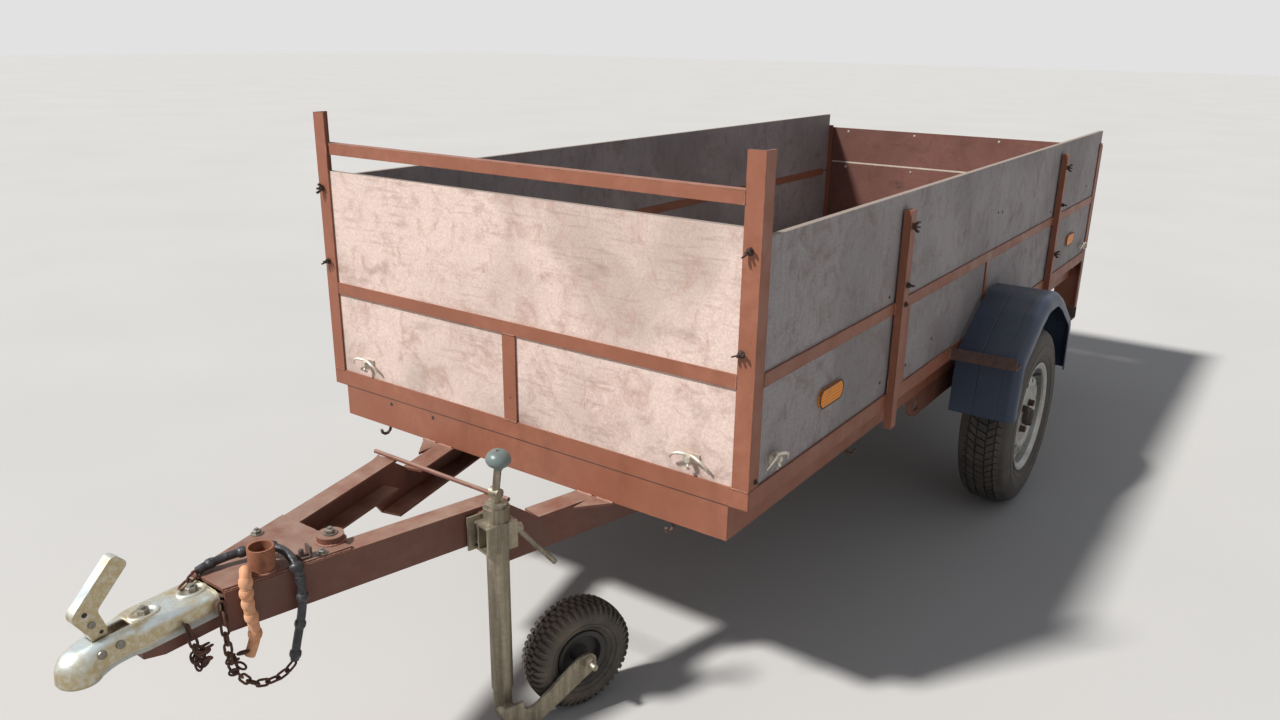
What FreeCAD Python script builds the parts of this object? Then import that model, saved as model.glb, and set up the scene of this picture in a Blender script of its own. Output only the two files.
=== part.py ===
import FreeCAD, Part
import math
import os

import Sketcher

# Single-axle utility trailer with high plywood sides, standing on its jockey wheel.
# Frame: X forward to the coupling, Y to the left side, Z up, in millimetres.
# The origin is on the ground, in the middle of the whole length and width.

SIZES = [
    ("bed_length", 3070, "load bed, front plane to rear plane"),
    ("bed_width", 1300, "load bed over its side frames"),
    ("drawbar_reach", 1060, "bed front plane to the coupling's nose"),
    ("gate_overhang", 30, "hinge pins behind the bed's rear plane"),
    ("rail_bottom", 474, "ground to the underside of the frame channels"),
    ("rail_height", 82, "height of the frame channels"),
    ("rail_flange", 38, "flange width of the frame channels"),
    ("steel_wall", 5, "wall of channels, angles and straps"),
    ("rail_inset", 46, "side channel's outer face inside the bed's side"),
    ("cross_flange", 30, "flange width of the inner cross channels"),
    ("cross_drop", 22, "inner cross channels' underside above the side channels'"),
    ("rim_size", 42, "leg of the angle that borders the floor"),
    ("floor_thick", 15, "plywood floor"),
    ("board_thick", 15, "plywood side boards"),
    ("board_fit", 1, "gap of a board to its steel frame"),
    ("side_top", 1119, "ground to the top of the side boards"),
    ("front_top", 1137, "ground to the top of the front board"),
    ("mid_rail_top", 844, "ground to the top of the middle rail"),
    ("mid_rail_size", 30, "height of the middle rail"),
    ("mid_rail_ledge", 20, "depth of the ledge that carries the upper boards"),
    ("post_size", 40, "leg of the corner posts' angle"),
    ("front_post_top", 1283, "ground to the top of the front posts"),
    ("rear_post_top", 1066, "ground to the top of the rear posts"),
    ("lamp_plate_bottom", 310, "ground to the lower edge of the rear lamp plates"),
    ("lamp_plate_height", 200, "height of the rear lamp plates"),
    ("lamp_plate_width", 105, "width of the rear lamp plates"),
    ("lamp_depth", 20, "rear lamps, front to back"),
    ("crossbar_bottom", 1179, "ground to the underside of the ladder bar"),
    ("crossbar_size", 28, "height of the ladder bar"),
    ("strap_width", 40, "lower board straps"),
    ("side_strap_width", 62, "the side strap beside the first upright"),
    ("side_strap_x", 785, "bed front plane to that strap"),
    ("rear_strap_x", 1520, "bed front plane to the narrow side strap"),
    ("rear_strap_width", 24, "the narrow side strap"),
    ("upright_width", 34, "stakes outside the side boards, along the bed"),
    ("upright_depth", 20, "stakes outside the side boards, across the bed"),
    ("upright_first", 733, "bed front plane to the first stake"),
    ("upright_second", 2344, "bed front plane to the second stake"),
    ("upright_bottom", 502, "ground to the stakes' lower ends"),
    ("upright_top", 1080, "ground to the stakes' upper ends"),
    ("axle_back", 1611, "bed front plane to the wheel axis"),
    ("tyre_radius", 300, "road tyre, outside radius"),
    ("tyre_width", 165, "road tyre, section width"),
    ("tyre_outset", 188, "bed's side to the tyre's outer side"),
    ("wheel_radius", 165, "wheel rim, radius of the bead seat"),
    ("flange_radius", 182.5, "wheel rim, radius over its flanges"),
    ("rim_width", 135, "wheel rim, between its flanges"),
    ("dish_offset", 50, "rim's middle to the wheel's mounting face"),
    ("vent_circle", 118, "wheel axis to the middle of the wheel's vents"),
    ("vent_radius", 9, "wheel's vents"),
    ("hub_radius", 48, "hub, outside radius"),
    ("hub_gap", 6, "swing arm's outer side to the hub"),
    ("hub_cap", 26, "wheel's mounting face to the end of the hub's cap"),
    ("spindle_radius", 17, "stub axle"),
    ("running_gap", 0.1, "clearance of a turning fit, on the radius"),
    ("slide_gap", 0.3, "clearance of the jockey stand's tubes, on the radius"),
    ("beam_size", 60, "axle beam, square section"),
    ("beam_height", 432, "ground to the axle beam's centre"),
    ("arm_length", 185, "swing arm, beam centre to wheel axis"),
    ("swing_gap", 2, "side channel's outer face to the swing arm"),
    ("swing_thick", 28, "swing arm, across the bed"),
    ("swing_boss", 38, "swing arm's end radius at the beam"),
    ("swing_eye", 30, "swing arm's end radius at the wheel"),
    ("guard_radius", 340, "half of the mudguard's length"),
    ("guard_lip", 46, "mudguard's outer lip"),
    ("guard_flange", 16, "mudguard's inner lip"),
    ("guard_rise", 88, "mudguard's centre above the wheel axis"),
    ("guard_gap", 6, "bed's side to the mudguard's inner edge"),
    ("guard_width", 196, "mudguard's width"),
    ("guard_wall", 4, "mudguard's wall"),
    ("guard_corner", 26, "radius of the mudguard's outer shoulder"),
    ("bracket_reach", 32, "mudguard's end to its bracket's face"),
    ("bracket_rise", 174, "mudguard's centre to its brackets' undersides"),
    ("bracket_height", 36, "height of the mudguard brackets"),
    ("arm_height", 80, "drawbar channels' height"),
    ("arm_flange", 48, "drawbar channels' flange width"),
    ("arm_wall", 6, "drawbar channels' wall"),
    ("front_arm_top", 542, "ground to the top of the front drawbar arms"),
    ("arm_end_back", 795, "bed front plane to the front arms' front ends"),
    ("arm_joint", 243, "bed front plane to the step in the drawbar arms"),
    ("arm_spread", 250, "centre plane to the arms' outer faces at the bed front"),
    ("arm_taper", 0.247, "how much the arms close in for each millimetre forward"),
    ("arm_under_bed", 830, "how far the rear arms run under the bed"),
    ("arm_step", 95, "length of the slope in the rear arms' upper edge"),
    ("gusset_front", 72, "bed front plane to the arm gussets' front corners"),
    ("gusset_side", 340, "centre plane to the arm gussets' outer corners"),
    ("plate_thick", 6, "top plate of the drawbar's nose"),
    ("plate_rear", 562, "bed front plane to the top plate's rear end"),
    ("plate_inset", 4, "top plate's sides inside the arms' outer faces"),
    ("boss_x", 570, "bed front plane to the round boss on the top plate"),
    ("boss_y", 55, "centre plane to the round boss"),
    ("boss_radius", 26, "round boss on the top plate"),
    ("boss_height", 14, "height of the round boss"),
    ("tongue_width", 84, "tongue bar under the coupling"),
    ("tongue_height", 24, "tongue bar under the coupling"),
    ("tongue_front", 935, "bed front plane to the tongue bar's front end"),
    ("tongue_rear", 700, "bed front plane to the tongue bar's rear end"),
    ("tongue_corner", 30, "length of the tongue bar's cut corners"),
    ("coupling_top", 541, "ground to the coupling's top face"),
    ("coupling_height", 43, "coupling body's height"),
    ("coupling_width", 90, "coupling body's width at the rear"),
    ("coupling_neck", 60, "coupling body's width at the neck"),
    ("coupling_rear", 802, "bed front plane to the coupling body's rear end"),
    ("coupling_wall", 5, "pressed steel of the coupling"),
    ("coupling_roll", 4, "radius of the coupling's rolled upper edges"),
    ("ball_radius", 25.4, "socket for the towing ball"),
    ("pipe_radius", 24, "upright stub pipe on the drawbar"),
    ("pipe_wall", 3.5, "stub pipe's wall"),
    ("pipe_height", 46, "stub pipe's height"),
    ("pipe_x", 712, "bed front plane to the stub pipe's axis"),
    ("pipe_y", 45, "centre plane to the stub pipe's axis"),
    ("rod_radius", 5, "cross rod between the arms"),
    ("stand_x", 280, "bed front plane to the jockey stand's axis"),
    ("stand_y", 215, "centre plane to the jockey stand's axis"),
    ("stand_radius", 24, "jockey stand's outer tube"),
    ("stand_wall", 3, "jockey stand's tube walls"),
    ("stand_cap", 20, "closed top of the outer tube"),
    ("stand_top", 560, "ground to the outer tube's top at rest"),
    ("stand_bottom", 112, "ground to the outer tube's lower end at rest"),
    ("clamp_height", 62, "stand clamp's height"),
    ("clamp_top", 522, "ground to the stand clamp's top"),
    ("stand_wheel_radius", 130, "jockey tyre, outside radius"),
    ("stand_wheel_width", 80, "jockey tyre, section width"),
    ("stand_trail", 190, "jockey wheel's axis behind the stand's axis"),
    ("stand_angle", 20, "degrees from the side view to the jockey wheel's axis"),
    ("gate_top", 1056, "ground to the tailgate's top"),
    ("gate_split", 885, "ground to the top of the tailgate's lower board"),
    ("gate_gap", 6, "clearance under the tailgate"),
    ("gate_step", 5, "upper tailgate board behind the lower one"),
    ("hinge_radius", 8, "tailgate hinge knuckles"),
    ("hinge_spread", 420, "centre plane to the hinges"),
    ("knuckle_length", 30, "length of each hinge knuckle"),
    ("knuckle_gap", 0.5, "gap between two knuckles"),
    ("pin_radius", 4, "hinge pin"),
    ("hinge_strap", 90, "height of the hinge straps on the tailgate"),
    ("reflector_length", 92, "side reflectors, along the bed"),
    ("reflector_height", 40, "side reflectors' height"),
    ("reflector_bottom", 682, "ground to the side reflectors"),
    ("reflector_thick", 7, "side reflectors' thickness"),
    ("reflector_corner", 12, "side reflectors' cut corners"),
    ("reflector_first", 330, "bed front plane to the front reflectors"),
    ("reflector_second", 2655, "bed front plane to the rear reflectors"),
    ("cleat_height", 640, "ground to the rope cleats"),
    ("cleat_inset", 140, "bed's side to the front rope cleats"),
    ("cleat_first", 105, "bed front plane to the front side cleats"),
    ("cleat_second", 2940, "bed front plane to the rear side cleats"),
    ("hook_inset", 190, "bed's side to the front rope hooks"),
    ("hook_first", 640, "bed front plane to the front side hooks"),
    ("hook_second", 2560, "bed front plane to the rear side hooks"),
    ("chain_wire", 2.4, "chain links' wire, radius"),
    ("chain_straight", 12, "length of a link's straight sides"),
    ("chain_bend", 6.2, "radius of a link's ends at the wire's middle"),
    ("chain_pitch", 19.1, "length from one link to the next"),
]


class Size:
    """A length with its value and the sheet formula that gives it."""

    def __init__(self, value, formula=None):
        self.value = float(value)
        self.formula = formula or "%.10g" % self.value

    def __add__(self, other):
        other = as_size(other)
        return Size(self.value + other.value, "(%s + %s)" % (self.formula, other.formula))

    def __sub__(self, other):
        other = as_size(other)
        return Size(self.value - other.value, "(%s - %s)" % (self.formula, other.formula))

    def __mul__(self, other):
        other = as_size(other)
        return Size(self.value * other.value, "(%s * %s)" % (self.formula, other.formula))

    def __truediv__(self, other):
        other = as_size(other)
        return Size(self.value / other.value, "(%s / %s)" % (self.formula, other.formula))

    def __radd__(self, other):
        return as_size(other) + self

    def __rsub__(self, other):
        return as_size(other) - self

    def __rmul__(self, other):
        return as_size(other) * self

    def __neg__(self):
        return Size(-self.value, "(0 - %s)" % self.formula)


def as_size(length):
    return length if isinstance(length, Size) else Size(length)


def root(size):
    return Size(math.sqrt(size.value), "sqrt(%s)" % size.formula)


class Named:
    """The driving sizes, one attribute for each row of the sheet."""


doc = FreeCAD.newDocument("UtilityTrailer")
s = Named()
PARTS = []


def fill_sheet():
    sheet = doc.addObject("Spreadsheet::Sheet", "Sizes")
    for row, (alias, number, note) in enumerate(SIZES, 1):
        sheet.set("A%d" % row, alias)
        sheet.set("B%d" % row, str(number))
        sheet.set("C%d" % row, note)
        sheet.setAlias("B%d" % row, alias)
        setattr(s, alias, Size(number, "Sizes." + alias))
    doc.recompute()


def keep(label, item):
    """Name an object as one of the trailer's pieces."""
    item.Label = label
    PARTS.append(item)
    return item


def bind(item, **lengths):
    for name, length in lengths.items():
        item.setExpression(name, as_size(length).formula)


def place(item, x=0, y=0, z=0, turn=None):
    """Put an object at a named place, turned first if asked."""
    spot = [as_size(length) for length in (x, y, z)]
    base = FreeCAD.Vector(*[length.value for length in spot])
    item.Placement = FreeCAD.Placement(base, turn or FreeCAD.Rotation())
    for axis, length in zip("xyz", spot):
        item.setExpression(".Placement.Base." + axis, length.formula)
    return item


def box(x, y, z, name="Block"):
    """A block between (low, high) pairs along X, Y and Z."""
    block = doc.addObject("Part::Box", name)
    bind(block, Length=as_size(x[1]) - x[0], Width=as_size(y[1]) - y[0], Height=as_size(z[1]) - z[0])
    return place(block, x[0], y[0], z[0])


def mirrored(pair, side):
    """The (low, high) pair of a range across the bed, on the left (1) or right (-1)."""
    return pair if side > 0 else (-as_size(pair[1]), -as_size(pair[0]))


AXES = {
    "X": FreeCAD.Rotation(FreeCAD.Vector(0, 1, 0), FreeCAD.Vector(0, 0, 1), FreeCAD.Vector(1, 0, 0), "ZXY"),
    "Y": FreeCAD.Rotation(FreeCAD.Vector(1, 0, 0), 90),
    "Z": FreeCAD.Rotation(),
}


def cylinder(axis, start, length, radius, name="Round"):
    """A round bar from start, along +X, -Y or +Z."""
    bar = doc.addObject("Part::Cylinder", name)
    bind(bar, Radius=radius, Height=length)
    return place(bar, *start, turn=AXES[axis])


def together(items, name="Joined"):
    joined = doc.addObject("Part::MultiFuse", name)
    joined.Shapes = items
    joined.Refine = True
    return joined


def group(items, name="Set"):
    """Like pieces that don't touch, kept as separate solids of one node."""
    gathered = doc.addObject("Part::Compound", name)
    gathered.Links = items
    return gathered


def cut(base, tools, name="CutOut"):
    if len(tools) > 1:
        tools = [together(tools, name + "Tools")]
    result = doc.addObject("Part::Cut", name)
    result.Base = base
    result.Tool = tools[0]
    result.Refine = True
    return result


def outline(sketch, points):
    """Draw a closed polygon with each corner held by the sheet."""
    spots = [(as_size(x), as_size(y)) for x, y in points]
    count = len(spots)
    first = sketch.GeometryCount
    for here in range(count):
        start, end = spots[here], spots[(here + 1) % count]
        sketch.addGeometry(Part.LineSegment(FreeCAD.Vector(start[0].value, start[1].value, 0),
                                            FreeCAD.Vector(end[0].value, end[1].value, 0)), False)
    for here in range(count):
        after = first + (here + 1) % count
        sketch.addConstraint(Sketcher.Constraint("Coincident", first + here, 2, after, 1))
    for here, spot in enumerate(spots):
        for kind, length in zip(("DistanceX", "DistanceY"), spot):
            rule = Sketcher.Constraint(kind, -1, 1, first + here, 1, length.value)
            sketch.setExpression("Constraints[%d]" % sketch.addConstraint(rule), length.formula)


def hole(sketch, x, y, radius):
    x, y, radius = as_size(x), as_size(y), as_size(radius)
    ring = sketch.addGeometry(Part.Circle(FreeCAD.Vector(x.value, y.value, 0), FreeCAD.Vector(0, 0, 1),
                                          radius.value), False)
    for rule, length in ((Sketcher.Constraint("DistanceX", -1, 1, ring, 3, x.value), x),
                         (Sketcher.Constraint("DistanceY", -1, 1, ring, 3, y.value), y),
                         (Sketcher.Constraint("Radius", ring, radius.value), radius)):
        sketch.setExpression("Constraints[%d]" % sketch.addConstraint(rule), length.formula)


def new_sketch(body, name, role="XY_Plane"):
    sketch = body.newObject("Sketcher::SketchObject", name)
    plane = [item for item in body.Origin.OriginFeatures if item.Role == role][0]
    sketch.AttachmentSupport = [(plane, "")]
    sketch.MapMode = "FlatFace"
    return sketch


def profile(name, axis, points, low, high, holes=(), rounds=(), windows=()):
    """Pad a polygon along an axis: points are (Y, Z) for X, (X, Z) for Y and (X, Y) for Z.

    rounds is a list of (corner numbers, radius) for the corners that are rolled round.
    """
    low, high = as_size(low), as_size(high)
    body = doc.addObject("PartDesign::Body", name)
    sketch = new_sketch(body, name + "Sketch")
    outline(sketch, points)
    for window in windows:
        outline(sketch, window)
    for spot in holes:
        hole(sketch, *spot)
    pad = body.newObject("PartDesign::Pad", name + "Pad")
    pad.Profile = sketch
    bind(pad, Length=high - low)
    body.Tip = pad
    for number, (corners, radius) in enumerate(rounds):
        round_corners(body, name + "Round%d" % number, [points[corner] for corner in corners], radius)
    start = {"X": (low, 0, 0), "Y": (0, high, 0), "Z": (0, 0, low)}[axis]
    return place(body, *start, turn=AXES[axis])


def round_corners(body, name, corners, radius):
    doc.recompute()
    base = body.Tip
    picked = []
    for number, edge in enumerate(base.Shape.Edges, 1):
        ends = [vertex.Point for vertex in edge.Vertexes]
        if len(ends) == 2 and abs(ends[0].z - ends[1].z) > 0.01 and at_corner(ends, corners):
            picked.append("Edge%d" % number)
    fillet = body.newObject("PartDesign::Fillet", name)
    fillet.Base = (base, picked)
    bind(fillet, Radius=radius)
    body.Tip = fillet


def at_corner(ends, corners):
    for x, y in corners:
        spot = FreeCAD.Vector(as_size(x).value, as_size(y).value, 0)
        if all(FreeCAD.Vector(end.x, end.y, 0).distanceToPoint(spot) < 0.01 for end in ends):
            return True
    return False


def turned(name, points, centre, direction):
    """Turn a polygon of (radius, distance along the axis) about an axis through centre."""
    body = doc.addObject("PartDesign::Body", name)
    sketch = new_sketch(body, name + "Sketch", "XZ_Plane")
    outline(sketch, points)
    spin = body.newObject("PartDesign::Revolution", name + "Turn")
    spin.Profile = sketch
    spin.ReferenceAxis = (sketch, ["V_Axis"])
    spin.Angle = 360
    body.Tip = spin
    return place(body, *centre, turn=FreeCAD.Rotation(FreeCAD.Vector(0, 0, 1), FreeCAD.Vector(*direction)))


def rounded_wire(points):
    """A closed wire through (x, y, corner radius) points."""
    spots = [FreeCAD.Vector(point[0], point[1], 0) for point in points]
    count = len(spots)
    starts, ends, arcs = [], [], []
    for here, point in enumerate(points):
        corner = spots[here]
        back = (spots[here - 1] - corner).normalize()
        ahead = (spots[(here + 1) % count] - corner).normalize()
        radius = point[2] if len(point) > 2 else 0
        if not radius:
            starts.append(corner)
            ends.append(corner)
            continue
        half = back.getAngle(ahead) / 2
        reach = radius / math.tan(half)
        middle = corner + (back + ahead).normalize() * (radius / math.sin(half) - radius)
        starts.append(corner + back * reach)
        ends.append(corner + ahead * reach)
        arcs.append(Part.Arc(starts[-1], middle, ends[-1]).toShape())
    lines = []
    for here in range(count):
        after = starts[(here + 1) % count]
        if ends[here].distanceToPoint(after) > 1e-6:
            lines.append(Part.LineSegment(ends[here], after).toShape())
    return Part.Wire(Part.__sortEdges__(lines + arcs))


def plate(points, thick, holes=()):
    """A flat shape of rounded corners, thick along +Z, with (x, y, radius) holes."""
    shape = Part.Face(rounded_wire(points)).extrude(FreeCAD.Vector(0, 0, thick))
    for x, y, radius in holes:
        shape = shape.cut(Part.makeCylinder(radius, thick * 3, FreeCAD.Vector(x, y, -thick)))
    return shape


def feature(name, shape, x=0, y=0, z=0, turn=None):
    """A worked-out shape, its own turns and moves made part of its geometry first."""
    item = doc.addObject("Part::Feature", name)
    move = shape.Placement.toMatrix()
    plain = shape.copy()
    plain.Placement = FreeCAD.Placement()
    item.Shape = plain.transformed(move, copy=True)
    return place(item, x, y, z, turn)


def dimensions():
    """Lengths that several pieces share, worked out from the sheet."""
    s.front = (s.bed_length + s.gate_overhang - s.drawbar_reach) / 2
    s.rear = s.front - s.bed_length
    s.frame_rear = s.rear + s.steel_wall * 2
    s.half = s.bed_width / 2
    s.rail_top = s.rail_bottom + s.rail_height
    s.rail_outer = s.half - s.rail_inset
    s.rail_inner = s.rail_outer - s.rail_flange
    s.rim_top = s.rail_top + s.rim_size
    s.board_face = s.half - s.steel_wall
    s.floor_bottom = s.rail_top + s.steel_wall
    s.floor_top = s.floor_bottom + s.floor_thick
    s.axle_x = s.front - s.axle_back
    s.post_inner = s.half - s.post_size
    s.guard_height = s.tyre_radius + s.guard_rise
    s.guard_inner = s.half + s.guard_gap
    s.coupling_bottom = s.coupling_top - s.coupling_height
    s.hinge_x = s.rear - s.gate_overhang + s.hinge_radius
    s.hinge_z = s.rim_top - s.hinge_radius
    s.gate_bottom = s.hinge_z + s.hinge_radius + s.gate_gap
    s.stand_axis_x = s.front + s.stand_x
    drop = s.beam_height - s.tyre_radius
    s.beam_x = s.axle_x + root(s.arm_length * s.arm_length - drop * drop)
    s.tyre_middle = s.half + s.tyre_outset - s.tyre_width / 2
    s.wheel_face = s.tyre_middle + s.dish_offset
    s.swing_inner = s.rail_outer + s.swing_gap


def channel(flange, height, wall, side):
    """A channel's (across, up) outline with its back on the outer side."""
    back, tip = Size(0), -flange * side
    inner = -wall * side
    return [(back, 0), (tip, 0), (tip, wall), (inner, wall), (inner, height - wall),
            (tip, height - wall), (tip, height), (back, height)]


def shifted(points, across, up):
    return [(as_size(x) + across, as_size(y) + up) for x, y in points]


def frame_channels():
    sides = []
    for name, side in (("RailLeft", 1), ("RailRight", -1)):
        section = shifted(channel(s.rail_flange, s.rail_height, s.steel_wall, side),
                          s.rail_outer * side, s.rail_bottom)
        sides.append(profile(name, "X", section, s.frame_rear + s.steel_wall, s.front - s.steel_wall))
    keep("side_rails", group(sides, "SideRails"))

    ends = []
    for name, side, plane in (("RailFront", 1, s.front), ("RailRear", -1, s.frame_rear)):
        section = shifted(channel(s.rail_flange, s.rail_height, s.steel_wall, side), plane, s.rail_bottom)
        bar = profile(name, "Y", section, -s.rail_inner, s.rail_inner)
        along = (plane - s.steel_wall, plane) if side > 0 else (plane, plane + s.steel_wall)
        web = box(along, (-s.rail_outer, s.rail_outer), (s.rail_bottom, s.rail_top), name + "Web")
        ends.append(together([bar, web], name + "Closed"))
    keep("end_rails", group(ends, "EndRails"))

    bars = []
    inner = s.rail_outer - s.steel_wall
    # The first cross channel reaches down to the drawbar arms' rear ends.
    for number, (back, drop) in enumerate(((s.arm_under_bed - 40, 0), (s.axle_back - 120, s.cross_drop),
                                           (s.axle_back + 700, s.cross_drop))):
        section = channel(s.cross_flange, s.rail_height - drop, s.steel_wall, 1)
        placed = shifted(section, s.front - back, s.rail_bottom + drop)
        bars.append(profile("CrossBar%d" % number, "Y", placed, -inner, inner))
    keep("cross_members", cut_flanges(bars))


def cut_flanges(bars):
    """Cross channels end at the tips of the side channels' flanges, with a tongue inside."""
    trimmed = []
    room = s.steel_wall + 0.2
    for number, bar in enumerate(bars):
        tools = []
        for side in (1, -1):
            across = mirrored((s.rail_inner - 0.2, s.rail_outer + 1), side)
            for up in ((s.rail_top - room, s.rail_top + 1), (s.rail_bottom - 1, s.rail_bottom + room)):
                tools.append(box((s.rear, s.front), across, up, "FlangeRoom"))
        trimmed.append(cut(bar, tools, "CrossMember%d" % number))
    return group(trimmed, "CrossMembers")


def angle(leg_side, leg_up, wall, side):
    """An angle's (across, up) outline, its upright leg on the outer side."""
    tip, inner = -leg_side * side, -wall * side
    return [(0, 0), (tip, 0), (tip, wall), (inner, wall), (inner, leg_up), (0, leg_up)]


def rim_angles():
    sides = []
    for name, side in (("RimLeft", 1), ("RimRight", -1)):
        section = shifted(angle(s.rim_size, s.rim_size, s.steel_wall, side), s.half * side, s.rail_top)
        sides.append(profile(name, "X", section, s.rear + s.post_size, s.front - s.steel_wall))
    keep("rim_sides", group(sides, "RimSides"))

    edge = box((s.front - s.steel_wall, s.front), (-s.half, s.half), (s.rail_top, s.rim_top), "RimFrontEdge")
    reach = s.half - s.rim_size
    seat = box((s.front - s.rim_size, s.front - s.steel_wall), (-reach, reach),
               (s.rail_top, s.floor_bottom), "RimFrontSeat")
    front = together([edge, seat], "RimFront")
    section = shifted(angle(s.rim_size, s.rim_size, s.steel_wall, -1), s.rear, s.rail_top)
    rear = profile("RimRear", "Y", section, -reach, reach)
    keep("rim_ends", group([front, rear], "RimEnds"))


def corner_posts():
    front = []
    for name, side in (("FrontPostLeft", 1), ("FrontPostRight", -1)):
        across = [s.half * side, s.post_inner * side, s.board_face * side]
        section = [(s.front, across[0]), (s.front, across[1]), (s.front - s.steel_wall, across[1]),
                   (s.front - s.steel_wall, across[2]), (s.front - s.post_size, across[2]),
                   (s.front - s.post_size, across[0])]
        front.append(profile(name, "Z", section, s.rim_top, s.front_post_top))
    keep("front_posts", group(front, "FrontPosts"))

    rear = []
    for name, side in (("RearPostLeft", 1), ("RearPostRight", -1)):
        across = [s.half * side, s.post_inner * side, s.board_face * side]
        section = [(s.rear, across[0]), (s.rear, across[1]), (s.rear + s.steel_wall, across[1]),
                   (s.rear + s.steel_wall, across[2]), (s.rear + s.post_size, across[2]),
                   (s.rear + s.post_size, across[0])]
        post = profile(name, "Z", section, s.lamp_plate_bottom, s.rear_post_top)
        inner = s.half - s.lamp_plate_width
        sheet = box((s.rear + s.steel_wall, s.rear + s.steel_wall * 2),
                    mirrored((inner, s.board_face), side),
                    (s.lamp_plate_bottom, s.lamp_plate_bottom + s.lamp_plate_height), "LampPlate")
        rear.append(together([post, sheet], name + "WithPlate"))
    keep("rear_posts", group(rear, "RearPosts"))


def rear_lamps():
    lamps = []
    rear_face = s.rear + s.steel_wall
    for side in (1, -1):
        low = s.half - s.lamp_plate_width + 2
        across = mirrored((low, s.post_inner - 2), side)
        up = (s.lamp_plate_bottom + 8, s.lamp_plate_bottom + s.lamp_plate_height - 8)
        lamps.append(box((rear_face - s.lamp_depth, rear_face), across, up, "RearLamp"))
    keep("rear_lamps", group(lamps, "RearLamps"))


def rails_above():
    """The ladder bar and the middle rails of the front and the sides."""
    bar_top = s.crossbar_bottom + s.crossbar_size
    bar = box((s.front - s.steel_wall - s.crossbar_size, s.front - s.steel_wall),
              (-s.board_face, s.board_face), (s.crossbar_bottom, bar_top), "LadderBar")
    keep("ladder_bar", bar)

    low = s.mid_rail_top - s.mid_rail_size
    rails = []
    for name, side in (("MidRailLeft", 1), ("MidRailRight", -1)):
        outer, inner, ledge = s.half * side, s.board_face * side, (s.half - s.mid_rail_ledge) * side
        section = [(outer, low), (inner, low), (inner, s.mid_rail_top - s.steel_wall),
                   (ledge, s.mid_rail_top - s.steel_wall), (ledge, s.mid_rail_top), (outer, s.mid_rail_top)]
        rails.append(profile(name, "X", section, s.rear + s.post_size, s.front - s.post_size))
    front, face = s.front, s.front - s.steel_wall
    ledge = s.front - s.mid_rail_ledge
    section = [(front, low), (face, low), (face, s.mid_rail_top - s.steel_wall),
               (ledge, s.mid_rail_top - s.steel_wall), (ledge, s.mid_rail_top), (front, s.mid_rail_top)]
    rails.append(profile("MidRailFront", "Y", section, -s.post_inner, s.post_inner))
    keep("middle_rails", group(rails, "MiddleRails"))


def straps_and_uprights():
    low_end = s.mid_rail_top - s.mid_rail_size
    straps = [box((s.front - s.steel_wall, s.front), (-s.strap_width / 2, s.strap_width / 2),
                  (s.rim_top, low_end), "FrontStrap")]
    for side in (1, -1):
        across = mirrored((s.board_face, s.half), side)
        for back, width in ((s.side_strap_x, s.side_strap_width), (s.rear_strap_x, s.rear_strap_width)):
            along = (s.front - back - width, s.front - back)
            straps.append(box(along, across, (s.rim_top, low_end), "SideStrap"))
    keep("lower_straps", group(straps, "LowerStraps"))

    stakes = []
    for side in (1, -1):
        across = mirrored((s.half, s.half + s.upright_depth), side)
        for back in (s.upright_first, s.upright_second):
            along = (s.front - back - s.upright_width, s.front - back)
            stakes.append(box(along, across, (s.upright_bottom, s.upright_top), "Stake"))
    keep("side_stakes", group(stakes, "SideStakes"))


def boards():
    """The floor and the plywood of the front and the sides."""
    edge = s.board_face - s.board_thick - s.board_fit
    keep("floor_board", box((s.rear + s.steel_wall + s.board_fit,
                             s.front - s.steel_wall - s.board_thick - s.board_fit),
                            (-edge, edge), (s.floor_bottom, s.floor_top), "Floor"))

    lower_top = s.mid_rail_top - s.steel_wall
    front = (s.front - s.steel_wall - s.board_thick, s.front - s.steel_wall)
    side_along = (s.rear + s.steel_wall + s.board_fit, front[0])
    keep("front_lower_board", box(front, (-s.board_face, s.board_face), (s.floor_bottom, lower_top),
                                  "FrontLower"))
    keep("front_upper_board", box(front, (-s.board_face, s.board_face), (s.mid_rail_top, s.front_top),
                                  "FrontUpper"))
    for label, name, low, high in (("side_lower_boards", "SideLower", s.floor_bottom, lower_top),
                                   ("side_upper_boards", "SideUpper", s.mid_rail_top, s.side_top)):
        pair = []
        for side in (1, -1):
            across = mirrored((s.board_face - s.board_thick, s.board_face), side)
            pair.append(box(side_along, across, (low, high), name))
        keep(label, group(pair, name + "Boards"))


def tailgate_parts():
    """A framed pair of boards that closes against the rear posts, hinged along the rear rim."""
    reach = s.half - s.board_fit
    inner = s.rear
    back = inner - s.board_thick - s.steel_wall
    bars = []
    for low, high in ((s.gate_bottom, s.gate_bottom + s.mid_rail_size),
                      (s.gate_split - s.mid_rail_size, s.gate_split),
                      (s.gate_top - s.mid_rail_size, s.gate_top)):
        bars.append(box((back, back + s.steel_wall), (-reach, reach), (low, high), "GateRail"))
    for side in (1, -1):
        across = mirrored((reach - s.post_size, reach), side)
        bars.append(box((back, back + s.steel_wall), across, (s.gate_bottom, s.gate_top), "GateStile"))
    keep("tailgate_frame", together(bars, "GateFrame"))
    # The lower board stands proud of the upper one, so that its top edge shows from inside.
    lower = box((back + s.steel_wall, inner), (-reach, reach), (s.gate_bottom, s.gate_split), "GateLower")
    upper = box((back + s.steel_wall, inner - s.gate_step), (-reach, reach),
                (s.gate_split + s.board_fit, s.gate_top), "GateUpper")
    keep("tailgate_board", group([lower, upper], "GateBoards"))
    tailgate_hinges(back)


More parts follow.
